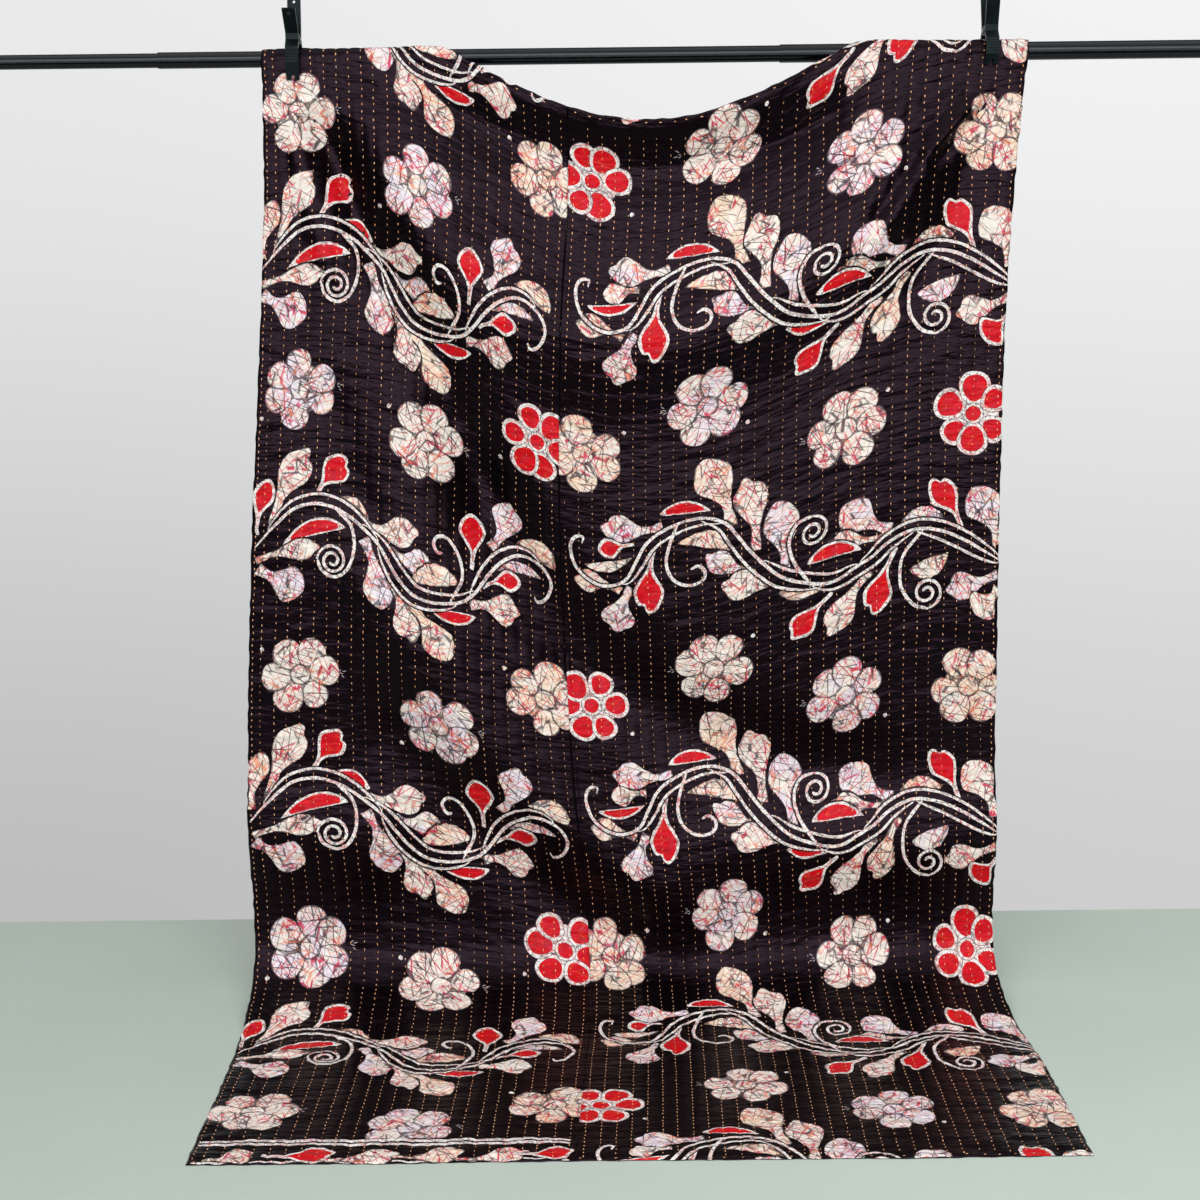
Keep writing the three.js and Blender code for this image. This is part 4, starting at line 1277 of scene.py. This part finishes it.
# Crackle of the wax: turn (degrees), cells to a metre across and along the cracks,
# half-width of a crack (cells), colour and strength
CRACKLES = [
    (25.0, 92.0, 13.0, 0.056, (0.60, 0.012, 0.06), 0.92),
    (-48.0, 80.0, 12.0, 0.052, (0.62, 0.04, 0.11), 0.85),
    (74.0, 84.0, 14.0, 0.054, (0.035, 0.027, 0.035), 0.85),
    (-14.0, 70.0, 12.0, 0.050, (0.05, 0.038, 0.047), 0.82),
    (112.0, 76.0, 14.0, 0.052, (0.78, 0.17, 0.06), 0.65),
    (48.0, 60.0, 15.0, 0.042, (0.05, 0.038, 0.047), 0.78),
]
CRACKLE_STEP = (3.7, 1.9)
CRACK_EDGE = (0.45, 1.25)
CRACK_BREAKS = 24.0
CRACK_GAP = (0.43, 0.54)


def add_crackle(tree, flat, wax, color):
    """Straight dyed cracks over the waxed motifs, broken here and there."""
    for index, (turn, across, along, half, tint, strength) in enumerate(CRACKLES):
        start = (CRACKLE_STEP[0] * index, CRACKLE_STEP[1] * index, 0.0)
        values = {"Vector": flat, "Location": start, "Rotation": (0.0, 0.0, math.radians(turn))}
        turned = put(tree, "ShaderNodeMapping", values).outputs[0]
        place = put(tree, "ShaderNodeMapping", {"Vector": turned, "Scale": (across, along, 1.0)}).outputs[0]
        cells = put(tree, "ShaderNodeTexVoronoi", {"Vector": place, "Scale": 1.0},
                    feature="DISTANCE_TO_EDGE", voronoi_dimensions="2D")
        from_middle, to_edge = (half * share for share in CRACK_EDGE)
        line = map_range(tree, cells.outputs["Distance"], from_middle, to_edge, 1.0, 0.0)
        gap = map_range(tree, noise(tree, turned, CRACK_BREAKS, 1.0), *CRACK_GAP)
        line = math_node(tree, "MULTIPLY", math_node(tree, "MULTIPLY", line, gap), wax)
        color = mix(tree, math_node(tree, "MULTIPLY", line, strength), color, (*tint, 1.0))
    return color


# Printed cotton. Noise rows: scale, detail, the noise values that the change runs between,
# and what it runs between
COTTON_ROUGH = 0.35
COTTON_SPECULAR = 0.14
COTTON_SHINE = (1.0, 0.61, 0.84)
GROUND_COOL = (0.80, 0.98, 1.15, 1.0)
GROUND_WARM = (1.30, 0.92, 1.08, 1.0)
GROUND_PATCH = (5.0, 3.0, 0.38, 0.62, 0.0, 1.0)
FADED = (26.0, 2.0, 0.40, 0.62, 0.0, 1.0)
SMUDGE = (60.0, 3.0, 0.3, 0.7, -0.20, 0.16)
FLECK = (240.0, 2.0, 0.34, 0.46, 0.30, 1.0)
STAIN = (90.0, 4.0, 0.3, 0.7, 0.84, 1.08)
RIM = (0.0, 0.20, 0.30, 1.0)
# Wax shares above which a place is a motif, a white line or a pale petal or leaf
WAX_MOTIF = 0.01
WAX_WHITE = 0.5
WAX_PALE = 0.7
# Weave and creases: scale, detail, strength and height (m)
WEAVE = (700.0, 2.0, 0.25, 0.0006)
CREASE_STRETCH = (20.0, 78.0, 1.0)
CREASE = (1.0, 3.0, 0.9, 0.0044)


def ranged_noise(tree, place, row):
    scale, detail, *ends = row
    return map_range(tree, noise(tree, place, scale, detail), *ends)


def bumpy(tree, place, row, **below):
    scale, detail, strength, distance = row
    return bump(tree, noise(tree, place, scale, detail), strength, distance, **below)


def cotton_material():
    """Washed printed cotton: aubergine-black ground, waxed motifs with dyed cracks, fine weave."""
    material, tree, shader = new_material("printed_cotton", DYES["ground"], COTTON_ROUGH,
                                          COTTON_SPECULAR, COTTON_SHINE)
    flat = put(tree, "ShaderNodeUVMap", uv_map="flat_cloth").outputs["UV"]
    dye = attribute(tree, "dye", "Color")
    wax = attribute(tree, "wax")
    is_motif, is_white, is_pale = (math_node(tree, "GREATER_THAN", wax, least)
                                   for least in (WAX_MOTIF, WAX_WHITE, WAX_PALE))
    cool = mix(tree, 1.0, dye, GROUND_COOL, "MULTIPLY")
    warm = mix(tree, 1.0, dye, GROUND_WARM, "MULTIPLY")
    ground = mix(tree, ranged_noise(tree, flat, GROUND_PATCH), cool, warm)
    faded = math_node(tree, "MULTIPLY", ranged_noise(tree, flat, FADED), is_pale)
    waxed = mix(tree, faded, dye, (*DYES["cream"], 1.0))
    color = add_crackle(tree, flat, wax, mix(tree, is_motif, ground, waxed))
    rim = math_node(tree, "ADD", attribute(tree, "depth"), ranged_noise(tree, flat, SMUDGE))
    rim = map_range(tree, rim, *RIM)
    fleck = mix(tree, is_white, (1.0, 1.0, 1.0, 1.0), ranged_noise(tree, flat, FLECK))
    color = mix(tree, 1.0, color, mix(tree, is_pale, fleck, rim), "MULTIPLY")
    color = mix(tree, 1.0, color, ranged_noise(tree, flat, STAIN), "MULTIPLY")
    tree.links.new(color, shader.inputs["Base Color"])
    stretch = put(tree, "ShaderNodeMapping", {"Vector": flat, "Scale": CREASE_STRETCH}).outputs[0]
    normal = bumpy(tree, stretch, CREASE, Normal=bumpy(tree, flat, WEAVE))
    tree.links.new(normal, shader.inputs["Normal"])
    return material


THREAD_DARK = (0.62, 0.27, 0.12, 1.0)
THREAD_PALE = (0.88, 0.51, 0.29, 1.0)
THREAD_TONE = (60.0, 2.0, 0.3, 0.7, 0.0, 1.0)


def thread_material():
    """Orange cotton thread, uneven in tone."""
    material, tree, shader = new_material("orange_thread", THREAD_DARK[:3], 0.7, 0.3)
    tone = ranged_noise(tree, object_place(tree), THREAD_TONE)
    tree.links.new(mix(tree, tone, THREAD_DARK, THREAD_PALE), shader.inputs["Base Color"])
    return material


# Handling wear: noise scale, detail and ends, then how it changes roughness and colour
WEAR = (38.0, 4.0, 0.35, 0.75)
WEAR_ROUGH = (0.92, 1.25)
WEAR_TONE = (0.9, 1.6)
# Grain: detail, strength and height (m)
GRAIN = (2.0, 0.15, 0.0004)


def handled_finish(name, color, rough, specular, tint, grain):
    """Paint, plastic or steel with a fine grain, a little duller and paler where hands wore it."""
    material, tree, shader = new_material(name, color, rough, specular, tint)
    place = object_place(tree)
    worn_rough = ranged_noise(tree, place, (*WEAR, rough * WEAR_ROUGH[0], rough * WEAR_ROUGH[1]))
    tree.links.new(worn_rough, shader.inputs["Roughness"])
    tone = mix(tree, 1.0, (*color, 1.0), ranged_noise(tree, place, (*WEAR, *WEAR_TONE)), "MULTIPLY")
    tree.links.new(tone, shader.inputs["Base Color"])
    tree.links.new(bumpy(tree, place, (grain, *GRAIN)), shader.inputs["Normal"])
    return material, shader


# Panels: pieces, solid, from and to across the quilt, flat width, and the tubes that they rest on
PANELS = (
    ("left_panel", "left_stitches", "left", "quilt_left_panel",
     0.0, LEFT_WIDTH - VISUAL_GAP / 2, LEFT_WIDTH, ["bar_mid_tube"]),
    ("right_panel", "right_stitches", "right", "quilt_right_panel",
     LEFT_WIDTH + VISUAL_GAP / 2, QUILT_WIDTH, RIGHT_WIDTH, ["bar_mid_tube", "bar_thick_tube"]),
)


def make_quilt():
    cotton, thread = cotton_material(), thread_material()
    for name, stitch_name, panel, node, from_x, to_x, width, tubes in PANELS:
        piece = build_panel(name, panel, from_x, to_x)
        piece.data.materials.append(cotton)
        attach(piece, "root")
        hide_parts(node)
        stitches = build_stitches(stitch_name, from_x, to_x)
        stitches.data.materials.append(thread)
        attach(stitches, "root")


# Finishes of the bar and of the clamps: colour, roughness, specular level and tint, scale of the grain
BAR_PAINT = ((0.0012, 0.0014, 0.002), 0.20, 0.34, (0.86, 0.94, 1.0), 900.0)
CLAMP_PLASTIC = ((0.0018, 0.0032, 0.0036), 0.38, 0.14, (0.72, 0.95, 1.0), 1500.0)
CLAMP_STEEL = ((0.22, 0.22, 0.23), 0.35, 0.5, (1.0, 1.0, 1.0), 1200.0)


def finish_solids():
    """Finishes on the bar and on the clamps, whose solids show as they are."""
    paint, _ = handled_finish("bar_paint", *BAR_PAINT)
    plastic, _ = handled_finish("clamp_plastic", *CLAMP_PLASTIC)
    steel, steel_shader = handled_finish("clamp_steel", *CLAMP_STEEL)
    steel_shader.inputs["Metallic"].default_value = 1.0
    for name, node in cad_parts.items():
        if name.startswith("quilt"):
            continue
        if name.startswith("bar"):
            finish = paint
        else:
            finish = plastic if name.endswith("lever") else steel
        node.data.materials.clear()
        node.data.materials.append(finish)


make_quilt()
finish_solids()

# Floor (m): how far it runs on behind the bar, its sides, a little below the part's foot; its colour,
# the painted light that makes its tone lighter from left to right and from back to front, and blotches in
# its paint
FLOOR_BEHIND = 0.36
FLOOR_WIDTH = 12.0
FLOOR_DEPTH = 1.9
FLOOR_BELOW = 0.0005
FLOOR_TONE = (0.495, 0.576, 0.502)
PAINTED_LIGHT_SIDE = (-1.0, 1.0, 0.95, 1.10)
PAINTED_LIGHT_FRONT = (-0.75, 0.35, 1.02, 0.97)
FLOOR_BLOTCH = (3.0, 4.0, 0.3, 0.7, 0.985, 1.015)


def floor_paint_and_painted_light():
    """Pale green floor paint, a little uneven, with painted light that makes it lighter towards the front
    and the right.
    """
    material, tree, shader = new_material("floor_paint_and_painted_light", FLOOR_TONE, 0.55, 0.3)
    place = object_place(tree)
    way = put(tree, "ShaderNodeSeparateXYZ", {0: place})
    # Painted light: the tone grows lighter towards the right and the front, standing in for how the light
    # falls on the floor
    side = map_range(tree, way.outputs["X"], *PAINTED_LIGHT_SIDE)
    front = map_range(tree, way.outputs["Y"], *PAINTED_LIGHT_FRONT)
    tone = math_node(tree, "MULTIPLY", side, front)
    tone = math_node(tree, "MULTIPLY", tone, ranged_noise(tree, place, FLOOR_BLOTCH))
    color = mix(tree, 1.0, (*FLOOR_TONE, 1.0), tone, "MULTIPLY")
    tree.links.new(color, shader.inputs["Base Color"])
    return material


def make_floor():
    bpy.ops.object.select_all(action="DESELECT")
    bpy.ops.mesh.primitive_plane_add(size=1, location=(0, 0, 0))
    floor = bpy.context.object
    floor.name = "floor"
    middle = BAR_Y + FLOOR_BEHIND - FLOOR_DEPTH / 2
    floor.data.transform(Matrix.Diagonal((FLOOR_WIDTH, FLOOR_DEPTH, 1.0, 1.0)))
    floor.data.transform(Matrix.Translation((0.0, middle, -FLOOR_BELOW)))
    floor.data.materials.append(floor_paint_and_painted_light())


# Softbox behind the camera: width, height, distance from the bar, height of its lower edge (m), power (W)
SOFTBOX_WIDTH = 7.0
SOFTBOX_HEIGHT = 3.4
SOFTBOX_DISTANCE = 5.0
SOFTBOX_FOOT = 1.15
SOFTBOX_POWER = 325.0


def make_softbox():
    data = bpy.data.lights.new("softbox", "AREA")
    data.shape = "RECTANGLE"
    data.size = SOFTBOX_WIDTH
    data.size_y = SOFTBOX_HEIGHT
    data.energy = SOFTBOX_POWER
    light = bpy.data.objects.new("softbox", data)
    bpy.context.collection.objects.link(light)
    light.location = (0.0, BAR_Y - SOFTBOX_DISTANCE, SOFTBOX_FOOT + SOFTBOX_HEIGHT / 2)
    light.rotation_euler = (math.pi / 2, 0.0, 0.0)


# Light from all round, by its direction: behind the quilt grey low on the left and palest high on the
# right, dim above the view; in front dark below and bright overhead
BACK_FROM = (0.05, 0.6)
BACK_HEIGHT = (-0.36, 0.16)
BACK_SIDE = (-0.35, 0.30)
BACK_LEFT = ((0.50, 0.50, 0.50, 1.0), (0.82, 0.82, 0.83, 1.0))
BACK_RIGHT = ((0.61, 0.61, 0.61, 1.0), (0.90, 0.90, 0.90, 1.0))
BACK_TOP = (0.13, 0.13, 0.135, 1.0)
BACK_TOP_HEIGHT = (0.15, 0.28)
FRONT_LOW = (0.06, 0.06, 0.063, 1.0)
FRONT_HIGH = (1.30, 1.30, 1.33, 1.0)
FRONT_HEIGHT = (0.45, 0.85)


def make_surroundings():
    """Soft light all round: pale behind the quilt, dimmer in front of it."""
    world = bpy.data.worlds.new("studio")
    bpy.context.scene.world = world
    world.use_nodes = True
    tree = world.node_tree
    way = put(tree, "ShaderNodeSeparateXYZ", {0: put(tree, "ShaderNodeTexCoord").outputs["Generated"]})
    x, y, z = (way.outputs[axis] for axis in "XYZ")
    high = map_range(tree, z, *BACK_HEIGHT)
    left, right = mix(tree, high, *BACK_LEFT), mix(tree, high, *BACK_RIGHT)
    pale = mix(tree, map_range(tree, x, *BACK_SIDE), left, right)
    pale = mix(tree, map_range(tree, z, *BACK_TOP_HEIGHT), pale, BACK_TOP)
    front = mix(tree, map_range(tree, z, *FRONT_HEIGHT), FRONT_LOW, FRONT_HIGH)
    color = mix(tree, map_range(tree, y, *BACK_FROM), front, pale)
    tree.links.new(color, tree.nodes["Background"].inputs["Color"])


make_floor()
make_surroundings()
make_softbox()
bpy.context.scene.view_settings.view_transform = "Standard"
